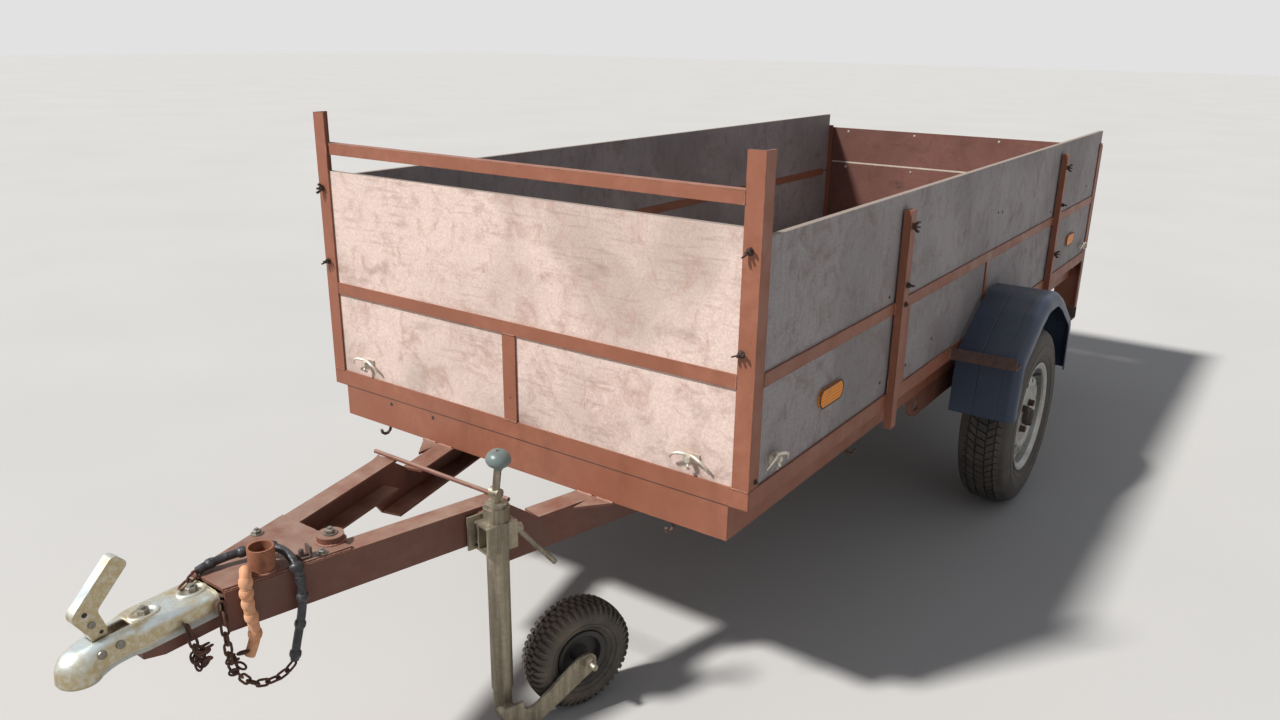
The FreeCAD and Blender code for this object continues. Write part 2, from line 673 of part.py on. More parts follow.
def tailgate_hinges(back):
    """Each hinge has a fixed half with the pin and a half that turns with the tailgate."""
    fixed, turning = [], []
    knuckle, gap, pin = s.knuckle_length, s.knuckle_gap, s.pin_radius
    for side in (1, -1):
        start = s.hinge_spread * side
        barrel = cylinder("Y", (s.hinge_x, start + knuckle, s.hinge_z), knuckle, s.hinge_radius, "FixedKnuckle")
        leaf = box((s.hinge_x, s.rear), (start, start + knuckle), (s.hinge_z - 4, s.hinge_z + 4), "FixedArm")
        foot = box((s.rear - 4, s.rear), (start - 10, start + knuckle + 10),
                   (s.rail_top + 2, s.hinge_z + 4), "FixedFoot")
        bolt = cylinder("Y", (s.hinge_x, start + knuckle * 2 + gap, s.hinge_z), knuckle * 2 + gap, pin, "HingePin")
        fixed.append(together([barrel, leaf, foot, bolt], "FixedHinge"))
        low = start + knuckle + gap
        solid = cylinder("Y", (s.hinge_x, low + knuckle, s.hinge_z), knuckle, s.hinge_radius, "TurningKnuckle")
        strap = box((s.hinge_x - 3, back), (low, low + knuckle), (s.hinge_z, s.gate_bottom + s.hinge_strap),
                    "TurningStrap")
        bore = cylinder("Y", (s.hinge_x, low + knuckle + 1, s.hinge_z), knuckle + 2, pin + s.running_gap, "PinBore")
        turning.append(cut(together([solid, strap], "TurningHalf"), [bore], "TurningHinge"))
    keep("hinge_fixed_halves", group(fixed, "HingeFixedHalves"))
    keep("hinge_gate_halves", group(turning, "HingeGateHalves"))


def wheel_turn(side):
    """The wheel's axis runs from the centre plane outwards."""
    return FreeCAD.Vector(0, side, 0)


def rim_section(middle):
    """Half outlines of the rim as (radius, distance), mirrored about the rim's middle."""
    half = s.rim_width / 2
    flange, seat, wall = s.flange_radius, s.wheel_radius, 4
    outer = [(flange, half + 6), (flange, half + 2.5), (seat + 3, half - 1.5), (seat, half - 7.5),
             (seat, half - 25), (seat - 17, half - 38)]
    inner = [(seat - 17 - wall, half - 40), (seat - wall, half - 27), (seat - wall, half - 5.5),
             (seat - 1, half + 0.5), (flange - 6.5, half + 6)]
    far = [(radius, -distance) for radius, distance in reversed(outer)]
    near = [(radius, -distance) for radius, distance in reversed(inner)]
    return [(radius, distance + middle) for radius, distance in outer + far + near + inner]


def road_wheels():
    middle, face = s.tyre_middle, s.wheel_face
    for name, side in (("left", 1), ("right", -1)):
        centre = (s.axle_x, 0, s.tyre_radius)
        axis = wheel_turn(side)
        ring = turned("Rim_" + name, rim_section(middle), centre, axis)
        seat = s.wheel_radius - 17
        dish = turned("Dish_" + name, [
            (seat - 3, face - 24), (seat - 3, face - 16), (seat - 20, face + 6), (104, face + 9),
            (88, face + 4), (30, face + 4), (30, face), (90, face), (106, face + 4),
            (seat - 24, face + 2), (seat - 8, face - 20)], centre, axis)
        vents = []
        for number in range(12):
            turn = math.radians(30 * number + 15)
            spot = (s.axle_x + s.vent_circle * math.cos(turn), face + 40 if side > 0 else 40 - face,
                    s.tyre_radius + s.vent_circle * math.sin(turn))
            vents.append(cylinder("Y", spot, 80, s.vent_radius, "Vent"))
        keep("rim_" + name, cut(together([ring, dish], "Wheel_" + name), vents, "RimWheel_" + name))
        keep("tyre_" + name, tyre("Tyre_" + name, centre, axis))
        inner = s.swing_inner + s.swing_thick + s.hub_gap
        keep("hub_" + name, turned("Hub_" + name, [
            (s.spindle_radius + s.running_gap, inner), (s.hub_radius - 10, inner), (s.hub_radius, inner + 14),
            (s.hub_radius, face - 12), (78, face - 10), (78, face), (29, face), (29, face + 18),
            (24, face + s.hub_cap), (0.01, face + s.hub_cap), (0.01, face + s.hub_cap - 4),
            (s.spindle_radius + s.running_gap, face + s.hub_cap - 4)], centre, axis))


def tyre(name, centre, axis):
    """The road tyre's section, its bead between the rim's flanges."""
    seat, half = s.wheel_radius.value + 0.3, s.rim_width.value / 2
    outer, wide = s.tyre_radius.value, s.tyre_width.value / 2
    upper = [(seat, half - 8), (seat + 3.3, half - 2), (s.flange_radius.value + 1.5, half + 2),
             (outer * 0.77, wide + 2.5, 34), (outer, wide - 12, 20)]
    lower = [(point[0], -point[1]) + point[2:] for point in reversed(upper)]
    ring = Part.Face(rounded_wire(upper + lower))
    ring.rotate(FreeCAD.Vector(), FreeCAD.Vector(1, 0, 0), 90)
    shape = ring.revolve(FreeCAD.Vector(), FreeCAD.Vector(0, 0, 1), 360)
    turn = FreeCAD.Rotation(FreeCAD.Vector(0, 0, 1), axis)
    return feature(name, shape, centre[0], s.tyre_middle * axis.y, centre[2], turn)


def link(start, end, radius_start, radius_end, thick):
    """A flat arm with round ends, in the XZ plane, thick towards +Y."""
    span = end - start
    length = span.Length
    lean = math.atan2(span.z, span.x)
    open_by = math.acos((radius_start - radius_end) / length)
    corners = []
    for centre, radius, sign in ((start, radius_start, 1), (end, radius_end, 1),
                                 (end, radius_end, -1), (start, radius_start, -1)):
        heading = lean + sign * open_by
        corners.append(centre + FreeCAD.Vector(math.cos(heading), 0, math.sin(heading)) * radius)
    strip = Part.Face(Part.makePolygon(corners + corners[:1])).extrude(FreeCAD.Vector(0, thick, 0))
    ends = [Part.makeCylinder(radius, thick, centre, FreeCAD.Vector(0, 1, 0))
            for centre, radius in ((start, radius_start), (end, radius_end))]
    return strip.fuse(ends).removeSplitter()


def axle():
    inner, half = s.swing_inner, s.beam_size / 2
    keep("axle_beam", box((s.beam_x - half, s.beam_x + half), (-inner, inner),
                          (s.beam_height - half, s.beam_height + half), "AxleBeam"))
    arms = []
    start = FreeCAD.Vector(s.beam_x.value, 0, s.beam_height.value)
    end = FreeCAD.Vector(s.axle_x.value, 0, s.tyre_radius.value)
    thick, root_y = s.swing_thick.value, inner.value + 20
    spindle_end = s.wheel_face.value + s.hub_cap.value - 9.5
    for side in (1, -1):
        low = inner.value if side > 0 else -inner.value - thick
        arm = link(start, end, s.swing_boss.value, s.swing_eye.value, thick)
        arm = arm.translated(FreeCAD.Vector(0, low, 0))
        stub = Part.makeCylinder(s.spindle_radius.value, spindle_end - root_y,
                                 end + FreeCAD.Vector(0, side * root_y, 0), FreeCAD.Vector(0, side, 0))
        arms.append(feature("SwingArm", arm.fuse(stub).removeSplitter()))
    keep("swing_arms", group(arms, "SwingArms"))

    cheeks = []
    low, top = s.beam_height - 28, s.rail_bottom
    x, gap = s.beam_x, half + 0.5
    points = [(x + 430, top), (x + 430, low + 30), (x + 380, low), (x + gap, low),
              (x + gap, s.beam_height + gap), (x - gap, s.beam_height + gap), (x - gap, low), (x - 80, low),
              (x - 110, low + 36), (x - 110, top)]
    window = [(x + 340, low + 18), (x + 380, low + 18), (x + 380, low + 50), (x + 340, low + 50)]
    for side in (1, -1):
        across = mirrored((s.rail_outer - 8, s.rail_outer), side)
        cheeks.append(profile("AxleBracket", "Y", points, across[0], across[1], windows=[window]))
    keep("axle_brackets", group(cheeks, "AxleBrackets"))


# The mudguard's side view for a half length of 340, from its front end up to the top: x, up, corner radius.
GUARD_CORNERS = [(340, 0, 0), (320, 185, 60), (150, 292, 120), (62, 330, 120)]


def guard_outline(inset):
    """The mudguard's side view, drawn inwards by an inset."""
    scale = s.guard_radius.value / GUARD_CORNERS[0][0]
    front = []
    for x, up, corner in GUARD_CORNERS:
        reach = math.hypot(x, up) * scale
        shrink = scale * (reach - inset) / reach
        front.append((x * shrink, up * shrink if up else -1 if inset else 0, corner))
    return front + [(-x, up, corner) for x, up, corner in reversed(front)]


def rounded_slab(inset, thick, corner):
    """The mudguard's side view as a slab whose outer edge is rolled round."""
    slab = plate(guard_outline(inset), thick)
    edges = []
    for edge in slab.Edges:
        middle = edge.valueAt((edge.FirstParameter + edge.LastParameter) / 2)
        if abs(middle.z - thick) < 0.01 and middle.y > 0.5:
            edges.append(edge)
    return slab.makeFillet(corner, edges)


def mudguards():
    wall, wide, corner = s.guard_wall.value, s.guard_width.value, s.guard_corner.value
    shell = rounded_slab(0, wide, corner)
    inside = rounded_slab(wall, wide - 2 * wall, corner - wall)
    outer_mouth = plate(guard_outline(s.guard_lip.value), wide)
    inner_mouth = plate(guard_outline(s.guard_flange.value), wall * 4)
    shell = shell.cut([inside.translated(FreeCAD.Vector(0, 0, wall)),
                       outer_mouth.translated(FreeCAD.Vector(0, 0, wall * 2)),
                       inner_mouth.translated(FreeCAD.Vector(0, 0, -wall))])
    shell.rotate(FreeCAD.Vector(), FreeCAD.Vector(1, 0, 0), 90)
    opposite = shell.mirror(FreeCAD.Vector(), FreeCAD.Vector(0, 1, 0))
    keep("mudguard_left", feature("MudguardLeft", opposite, s.axle_x, s.guard_inner, s.guard_height))
    keep("mudguard_right", feature("MudguardRight", shell, s.axle_x, -s.guard_inner, s.guard_height))
    mudguard_brackets()


def mudguard_brackets():
    """Angles from the bed to the mudguards, their seats shaped to the mudguard's ends."""
    solid = plate(guard_outline(0), s.guard_width.value + 20)
    solid.rotate(FreeCAD.Vector(), FreeCAD.Vector(1, 0, 0), 90)
    low, wall, reach = s.guard_height + s.bracket_rise, s.guard_wall, s.guard_radius + s.bracket_reach
    high = low + s.bracket_height
    brackets = []
    for side in (1, -1):
        across = mirrored((s.half, s.guard_inner + s.guard_width - wall), side)
        for end in (1, -1):
            outer = s.axle_x + reach * end
            leg = (outer - wall, outer) if end > 0 else (outer, outer + wall)
            seat = (outer - reach / 3, outer) if end > 0 else (outer, outer + reach / 3)
            raw = together([box(leg, across, (low, high), "BracketLeg"),
                            box(seat, across, (low, low + wall), "BracketSeat")], "GuardBracketRaw")
            start = s.guard_inner + s.guard_width if side > 0 else Size(20) - s.guard_inner
            room = feature("GuardRoom", solid, s.axle_x, start, s.guard_height)
            brackets.append(cut(raw, [room], "GuardBracket"))
    keep("mudguard_brackets", group(brackets, "MudguardBrackets"))


def arm_spot(forward, side, outward=0.0):
    """A point on an arm's outer face, forward of the bed front, outward from that face."""
    lean = math.atan(s.arm_taper.value)
    across = s.arm_spread.value - s.arm_taper.value * forward
    return FreeCAD.Vector(s.front.value + forward + outward * math.sin(lean),
                          side * (across + outward * math.cos(lean)), 0)


def arm_turn(side):
    """The rotation whose X axis runs forward along an arm's outer face."""
    return FreeCAD.Rotation(FreeCAD.Vector(0, 0, 1), -side * math.degrees(math.atan(s.arm_taper.value)))


def along_arm(forward):
    """Distance along an arm's face for a distance forward of the bed front."""
    return forward / math.cos(math.atan(s.arm_taper.value))


def drawbar():
    low = s.front_arm_top - s.arm_height
    fronts, rears = [], []
    for side in (1, -1):
        section = shifted(channel(s.arm_flange, s.arm_height, s.arm_wall, side), 0, 0)
        start = arm_spot(s.arm_joint.value, side)
        length = along_arm(s.arm_end_back.value) - along_arm(s.arm_joint.value)
        bar = profile("FrontArm", "X", section, 0, length)
        place(bar, start.x, start.y, low, arm_turn(side).multiply(AXES["X"]))
        fronts.append(bar)

        top, wall = s.rail_bottom, s.arm_wall
        deep = top - s.arm_height
        joint, step = along_arm(s.arm_joint.value), s.arm_step.value
        tail = -along_arm(s.arm_under_bed.value)
        web = [(tail, deep), (joint, deep), (joint + 60, low + 8), (joint + 60, s.front_arm_top - 12),
               (joint, s.front_arm_top), (joint - step, top), (tail, top)]
        side_face = arm_spot(0, side, s.arm_wall.value)
        sheet = profile("RearWeb", "Y", web, 0, s.arm_wall)
        place(sheet, side_face.x, side_face.y, 0, arm_turn(side).multiply(AXES["Y"]))
        if side < 0:
            inner = arm_spot(0, side, 0)
            place(sheet, inner.x, inner.y, 0, arm_turn(side).multiply(AXES["Y"]))
        flanges = []
        for bottom, end in ((deep, joint), (top - wall, joint - step)):
            outline_points = [(tail, 0), (end, 0), (end, -s.arm_flange * side), (tail, -s.arm_flange * side)]
            flange = profile("RearFlange", "Z", outline_points, 0, wall)
            corner = arm_spot(0, side, 0)
            place(flange, corner.x, corner.y, bottom, arm_turn(side))
            flanges.append(flange)
        near, far = (s.front + s.gusset_front, s.arm_spread * side), (s.front - s.rail_flange, s.gusset_side * side)
        gusset = profile("ArmGusset", "Z", [near, far, (s.front - s.rail_flange, s.arm_spread * side)],
                         top - wall, top)
        rears.append(together([sheet, gusset] + flanges, "RearArm"))
    keep("front_arms", group(fronts, "FrontArms"))
    keep("rear_arms", group(rears, "RearArms"))


def half_nose(forward, inset):
    return s.arm_spread.value - s.arm_taper.value * forward - inset


def drawbar_nose():
    """The web plate on the arms' front ends, the tongue bar under the coupling and the stub pipe."""
    top = s.front_arm_top
    rear_end, front_end = s.plate_rear.value, s.arm_end_back.value
    points = []
    for forward, side in ((rear_end, 1), (front_end, 1), (front_end, -1), (rear_end, -1)):
        points.append((s.front + forward, side * half_nose(forward, s.plate_inset)))
    sheet = profile("NosePlateSheet", "Z", points, top, top + s.plate_thick)
    boss = cylinder("Z", (s.front + s.boss_x, s.boss_y, top), s.plate_thick + s.boss_height, s.boss_radius,
                    "NoseBoss")
    keep("nose_plate", together([sheet, boss], "NosePlate"))
    half = s.tongue_width / 2
    tongue_top = s.coupling_bottom
    tail, nose, corner = s.tongue_rear.value, s.arm_end_back.value, s.tongue_corner
    inset = s.arm_wall.value * math.hypot(1, s.arm_taper.value) + 0.02
    near = [(s.front + tail, half_nose(tail, inset)), (s.front + nose, half_nose(nose, inset)),
            (s.front + nose, half), (s.front + s.tongue_front - corner, half),
            (s.front + s.tongue_front, half - corner / 2)]
    flat = near + [(x, -y) for x, y in reversed(near)]
    keep("tongue_bar", profile("TongueBar", "Z", flat, tongue_top - s.tongue_height, tongue_top))
    pipe_x, pipe_y = s.front + s.pipe_x, s.pipe_y
    base = s.front_arm_top + s.plate_thick
    outer = cylinder("Z", (pipe_x, pipe_y, base), s.pipe_height, s.pipe_radius, "PipeOutside")
    inner = cylinder("Z", (pipe_x, pipe_y, base - 1), s.pipe_height + 2, s.pipe_radius - s.pipe_wall, "PipeBore")
    keep("stub_pipe", cut(outer, [inner], "StubPipe"))
    reach = half_nose(s.arm_joint.value, 0)
    keep("cross_rod", cylinder("Y", (s.front + s.arm_joint - 6, as_size(reach + 20), s.front_arm_top + s.rod_radius),
                               reach * 2 + 40, s.rod_radius, "CrossRod"))


def tapered_block(stations):
    """A block through (x, half width, bottom, top) stations, straight between them."""
    wires = []
    for x, half, bottom, top in stations:
        corners = [FreeCAD.Vector(x, -half, bottom), FreeCAD.Vector(x, half, bottom),
                   FreeCAD.Vector(x, half, top), FreeCAD.Vector(x, -half, top)]
        wires.append(Part.makePolygon(corners + corners[:1]))
    return Part.makeLoft(wires, True, True)


def rolled_edges(block, above, radius):
    """Round the long edges of a block that lie higher than a level."""
    long_edges = []
    for edge in block.Edges:
        ends = [vertex.Point for vertex in edge.Vertexes]
        if min(end.z for end in ends) > above and abs(ends[0].x - ends[1].x) > 1:
            long_edges.append(edge)
    return block.makeFillet(radius, long_edges)


def coupling():
    """The pressed coupling head: a channel that narrows to the neck, with the ball socket."""
    front, top, bottom = s.front.value, s.coupling_top.value, s.coupling_bottom.value
    rear, wall = front + s.coupling_rear.value, s.coupling_wall.value
    wide, neck = s.coupling_width.value / 2, s.coupling_neck.value / 2
    ball = s.ball_radius.value
    dome = ball + wall + 7
    ball_x, ball_z = front + s.drawbar_reach.value - dome, bottom - 1
    stations = [(rear, wide, bottom, top), (front + 925, wide, bottom, top),
                (front + 955, neck, bottom - 6, top - 1), (ball_x, neck, ball_z - 16, top - 6)]
    outside = rolled_edges(tapered_block(stations), top - 8, s.coupling_roll.value)
    head = Part.makeSphere(dome, FreeCAD.Vector(ball_x, 0, ball_z))
    head = head.common(Part.makeBox(200, 200, 100, FreeCAD.Vector(ball_x - 100, -100, ball_z)))
    skirt = Part.makeCylinder(dome, 16, FreeCAD.Vector(ball_x, 0, ball_z - 16))
    outside = outside.fuse([head, skirt]).removeSplitter()
    inner = [(rear - 1, wide - wall, bottom - 1, top - wall),
             (front + 923, wide - wall, bottom - 1, top - wall),
             (front + 952, neck - wall, bottom - 30, top - wall),
             (ball_x - ball - 6, neck - wall, bottom - 30, top - wall - 3)]
    hollow = tapered_block(inner)
    cavity = Part.makeCylinder(ball, 60, FreeCAD.Vector(ball_x, 0, ball_z - 60))
    cavity = cavity.fuse(Part.makeSphere(ball, FreeCAD.Vector(ball_x, 0, ball_z)))
    slot = Part.makeBox(66, 32, 30, FreeCAD.Vector(front + 938, -16, top - 22))
    shape = outside.cut([hollow, cavity, slot])
    pin = Part.makeCylinder(5, s.coupling_neck.value - 2, FreeCAD.Vector(front + 985, 1 - neck, top - 11),
                            FreeCAD.Vector(0, 1, 0))
    keep("coupling_body", feature("CouplingBody", shape.fuse(pin).removeSplitter()))
    lever_points = [(976, 521, 8), (994, 521, 8), (1006, 552, 10), (1029, 590, 16), (948, 672, 10),
                    (925, 650, 10), (986, 588, 12), (976, 556, 8)]
    thick = 21
    points = [(front + point[0], point[1]) + tuple(point[2:]) for point in lever_points]
    lever = plate(points, thick, [(front + 985, top - 11, 5 + s.running_gap.value)])
    lever.rotate(FreeCAD.Vector(), FreeCAD.Vector(1, 0, 0), 90)
    keep("coupling_lever", feature("CouplingLever", lever, 0, thick / 2, 0))


def stand_frame():
    """The jockey wheel's axle direction and rolling direction."""
    turn = math.radians(s.stand_angle.value)
    across = FreeCAD.Vector(math.sin(turn), math.cos(turn), 0)
    trail = FreeCAD.Vector(-math.cos(turn), math.sin(turn), 0)
    return across, trail


def jockey_stand():
    stand_clamp()
    axis_x, axis_y = s.front + s.stand_x, s.stand_y
    height = s.stand_top - s.stand_bottom
    outer = cylinder("Z", (axis_x, axis_y, s.stand_bottom), height, s.stand_radius, "StandOutside")
    bore = cylinder("Z", (axis_x, axis_y, s.stand_bottom - 1), height - s.stand_cap, s.stand_radius - s.stand_wall,
                    "StandBore")
    keep("stand_tube", cut(outer, [bore], "StandTube"))
    crank_parts()
    stand_fork()
    stand_wheel()


def stand_clamp():
    """The open pressing that holds the stand's tube against the arm, with its collar and handle."""
    axis_x, axis_y = s.stand_axis_x.value, s.stand_y.value
    lean = math.atan(s.arm_taper.value)
    across = FreeCAD.Vector(math.sin(lean), math.cos(lean), 0)
    face = arm_spot(s.stand_x.value, 1, s.arm_wall.value)
    out = (FreeCAD.Vector(axis_x, axis_y, 0) - face).dot(across)
    height, wall, low = s.clamp_height.value, 5, s.clamp_top.value - s.clamp_height.value
    outer = s.stand_radius.value + 7
    back, front = -outer, 42
    shape = Part.makeBox(front - back, out + outer, height, FreeCAD.Vector(back, -out, 0))
    for start, end in ((-out + wall, -8), (-3, outer - wall)):
        window = Part.makeBox(40, end - start, height - 2 * wall, FreeCAD.Vector(front - 18, start, wall))
        shape = shape.cut(window)
    base = Part.makeBox(front - back + 14, wall, height + 14, FreeCAD.Vector(back, -out, -4))
    collar = Part.makeCylinder(s.stand_radius.value + 4, 30, FreeCAD.Vector(0, 0, height))
    collar = collar.cut(Part.makeBox(100, 100, 40, FreeCAD.Vector(-50, -out - 100, height)))
    bolt = Part.makeCylinder(8, 34, FreeCAD.Vector(front - 10, -out + 16, height / 2), FreeCAD.Vector(-1, 0, 0))
    shape = shape.fuse([base, collar, bolt])
    shape = shape.cut(Part.makeCylinder(s.stand_radius.value + s.slide_gap.value, 400, FreeCAD.Vector(0, 0, -100)))
    pivot = FreeCAD.Vector(-outer - 6, outer - 12, height - 26)
    nut = Part.makeCylinder(11, 22, pivot + FreeCAD.Vector(12, 0, 0), FreeCAD.Vector(-1, 0, 0))
    handle = Part.makeCylinder(6, 150, pivot, FreeCAD.Vector(-0.64, 0, -0.77))
    shape = shape.fuse([nut, handle]).removeSplitter()
    turn = FreeCAD.Rotation(FreeCAD.Vector(0, 0, 1), -math.degrees(lean))
    keep("stand_clamp", feature("StandClamp", shape, s.stand_axis_x, s.stand_y, low, turn))


def crank_parts():
    top = FreeCAD.Vector((s.front + s.stand_x).value, s.stand_y.value, s.stand_top.value)
    spindle = Part.makeCylinder(9, 26, top)
    elbow = top + FreeCAD.Vector(0, 0, 22)
    knob_base = top + FreeCAD.Vector(6, 16, 96)
    arm = Part.makeCylinder(8, (knob_base - elbow).Length, elbow, knob_base - elbow)
    knuckle = Part.makeCylinder(11, 24, elbow + FreeCAD.Vector(0, -12, 0), FreeCAD.Vector(0, 1, 0))
    grip = Part.makeCylinder(11, 14, knob_base - FreeCAD.Vector(0, 0, 6))
    cap = Part.makeSphere(19, knob_base + FreeCAD.Vector(0, 0, 6))
    cap = cap.common(Part.makeBox(60, 60, 30, knob_base + FreeCAD.Vector(-30, -30, 0)))
    keep("stand_crank", feature("StandCrank", spindle.fuse([knuckle, arm, grip, cap]).removeSplitter()))


def in_stand_frame(shape):
    """Turn a shape modelled with X along the trail and Y along the axle, Z up, into place."""
    across, trail = stand_frame()
    turn = FreeCAD.Rotation(trail, -across, FreeCAD.Vector(0, 0, 1), "ZXY")
    foot = FreeCAD.Vector((s.front + s.stand_x).value, s.stand_y.value, 0)
    placed = shape.copy()
    placed.Placement = FreeCAD.Placement(foot, turn).multiply(shape.Placement)
    return placed


def stand_fork():
    """The inner tube and the one-sided arm; the wheel's axle is fixed in the arm."""
    inner = s.stand_radius.value - s.stand_wall.value - s.slide_gap.value
    wheel_z, trail = s.stand_wheel_radius.value, s.stand_trail.value
    face = s.stand_wheel_width.value / 2 + 6
    tube = Part.makeCylinder(inner, 360, FreeCAD.Vector(0, 0, 60))
    arm = plate([(-22, 92), (-22, 32, 20), (64, 26, 70), (trail + 20, wheel_z - 22, 18),
                 (trail + 20, wheel_z + 20, 19), (trail - 20, wheel_z + 20, 17), (52, 70, 40),
                 (24, 70, 12), (24, 92)], 8)
    arm.rotate(FreeCAD.Vector(), FreeCAD.Vector(1, 0, 0), 90)
    arm = arm.translated(FreeCAD.Vector(0, -face, 0))
    elbow = Part.makeSphere(inner, FreeCAD.Vector(0, 0, 58))
    foot = Part.makeCylinder(inner, face, FreeCAD.Vector(0, 0, 58), FreeCAD.Vector(0, -1, 0))
    pin = Part.makeCylinder(8, face * 2 + 6, FreeCAD.Vector(trail, -face - 14, wheel_z), FreeCAD.Vector(0, 1, 0))
    keep("stand_fork", feature("StandFork", in_stand_frame(tube.fuse([elbow, foot, arm, pin]).removeSplitter())))


def stand_wheel():
    radius, half = s.stand_wheel_radius.value, s.stand_wheel_width.value / 2
    rim, bore = 62, 8 + s.running_gap.value
    spot = FreeCAD.Vector(s.stand_trail.value, 0, radius)
    upper = [(rim, 24), (rim + 8, 30), (radius * 0.78, half + 3, 22), (radius, half - 6, 12)]
    lower = [(point[0], -point[1]) + point[2:] for point in reversed(upper)]
    ring = Part.Face(rounded_wire(upper + lower))
    ring.rotate(FreeCAD.Vector(), FreeCAD.Vector(1, 0, 0), 90)
    shape = ring.revolve(FreeCAD.Vector(), FreeCAD.Vector(0, 0, 1), 360)
    shape.rotate(FreeCAD.Vector(), FreeCAD.Vector(1, 0, 0), 90)
    keep("stand_tyre", feature("StandTyre", in_stand_frame(shape.translated(spot))))
    hub = [(bore, -32), (20, -32), (22, -10), (rim - 14, -8), (rim - 12, -26), (rim - 0.2, -29),
           (rim - 0.2, 29), (rim - 12, 26), (rim - 14, 8), (22, 10), (20, 32), (bore, 32)]
    wire = rounded_wire([(x, y) for x, y in hub])
    face = Part.Face(wire)
    face.rotate(FreeCAD.Vector(), FreeCAD.Vector(1, 0, 0), 90)
    shape = face.revolve(FreeCAD.Vector(), FreeCAD.Vector(0, 0, 1), 360)
    shape.rotate(FreeCAD.Vector(), FreeCAD.Vector(1, 0, 0), 90)
    keep("stand_rim", feature("StandRim", in_stand_frame(shape.translated(spot))))


def fittings():
    """Reflectors, rope cleats and rope hooks on the outside of the bed."""
    reflectors = []
    for side in (1, -1):
        for back in (s.reflector_first, s.reflector_second):
            along = (s.front - back - s.reflector_length, s.front - back)
            across = mirrored((s.board_face, s.board_face + s.reflector_thick), side)
            reflectors.append(profile("SideReflector", "Y", cut_rectangle(
                along, (s.reflector_bottom, s.reflector_bottom + s.reflector_height), s.reflector_corner),
                across[0], across[1]))
    keep("side_reflectors", group(reflectors, "SideReflectors"))

    cleats = []
    for side in (1, -1):
        cleats.append(feature("Cleat", cleat_shape(), s.front - s.steel_wall, (s.half - s.cleat_inset) * side,
                              s.cleat_height))
        for back in (s.cleat_first, s.cleat_second):
            turn = FreeCAD.Rotation(FreeCAD.Vector(0, 0, 1), 90 * side)
            cleats.append(feature("Cleat", cleat_shape(), s.front - back, s.board_face * side, s.cleat_height,
                                  turn))
    keep("rope_cleats", group(cleats, "RopeCleats"))

    hooks = []
    for side in (1, -1):
        hooks.append(feature("Hook", hook_shape(), s.front - 20, (s.half - s.hook_inset) * side, s.rail_bottom))
        for back in (s.hook_first, s.hook_second):
            turn = FreeCAD.Rotation(FreeCAD.Vector(0, 0, 1), 90 * side)
            hooks.append(feature("Hook", hook_shape(), s.front - back, (s.rail_outer - 20) * side,
                                 s.rail_bottom, turn))
    keep("rope_hooks", group(hooks, "RopeHooks"))


def cut_rectangle(along, up, corner):
    """A rectangle's outline with its corners cut off."""
    return [(along[0] + corner, up[0]), (along[1] - corner, up[0]), (along[1], up[0] + corner),
            (along[1], up[1] - corner), (along[1] - corner, up[1]), (along[0] + corner, up[1]),
            (along[0], up[1] - corner), (along[0], up[0] + corner)]


def cleat_shape():
    """A two-horned rope cleat, its foot on a board that faces +X."""
    foot = Part.makeBox(5, 40, 18, FreeCAD.Vector(0, -20, -9))
    stem = Part.makeCylinder(7, 22, FreeCAD.Vector(0, 0, 0), FreeCAD.Vector(1, 0, 0))
    horns = [Part.makeCone(6, 3.5, 38, FreeCAD.Vector(19, 0, 0), FreeCAD.Vector(0.18, side, 0.1))
             for side in (1, -1)]
    return foot.fuse([stem] + horns).removeSplitter()


def hook_shape():
    """A hook of round bar that hangs under the frame and opens outwards, towards +X."""
    bend, drop, wire = 16, 10, 4
    path = [(0, 0), (0, -drop)]
    for step in range(1, BEND_STEPS + 1):
        turn = math.pi * step / BEND_STEPS
        path.append((bend - bend * math.cos(turn), -drop - bend * math.sin(turn)))
    bar = bar_along(path, wire, closed=False)
    bar.rotate(FreeCAD.Vector(), FreeCAD.Vector(1, 0, 0), 90)
    return bar


# Small bent bars have flat sides: so many round the bar, and so many runs in half a turn of it.
BAR_SIDES = 8
BEND_STEPS = 5
ROUTE_STEP = 0.05


def bar_along(path, radius, closed):
    """A bar of BAR_SIDES flat sides along a flat path of (x, y) corners, mitred at each corner."""
    spots = [FreeCAD.Vector(x, y, 0) for x, y in path]
    count = len(spots)
    rings = []
    for here, spot in enumerate(spots):
        before = (spot - spots[here - 1]).normalize() if closed or here > 0 else None
        after = (spots[(here + 1) % count] - spot).normalize() if closed or here < count - 1 else None
        first, second = before or after, after or before
        mean = (first + second).normalize()
        widen = 1 / mean.dot(first)
        across = FreeCAD.Vector(-mean.y, mean.x, 0) * widen
        ring = []
        for side in range(BAR_SIDES):
            turn = 2 * math.pi * (side + 0.5) / BAR_SIDES
            ring.append(spot + across * (radius * math.cos(turn)) + FreeCAD.Vector(0, 0, radius * math.sin(turn)))
        rings.append(ring)
    faces = []
    for here in range(count if closed else count - 1):
        near, far = rings[here], rings[(here + 1) % count]
        for side in range(BAR_SIDES):
            other = (side + 1) % BAR_SIDES
            corners = [near[side], near[other], far[other], far[side]]
            faces.append(Part.Face(Part.makePolygon(corners + corners[:1])))
    if not closed:
        for ring in (rings[0], rings[-1]):
            faces.append(Part.Face(Part.makePolygon(ring + ring[:1])))
    solid = Part.makeSolid(Part.makeShell(faces))
    if solid.Volume < 0:
        solid.reverse()
    return solid


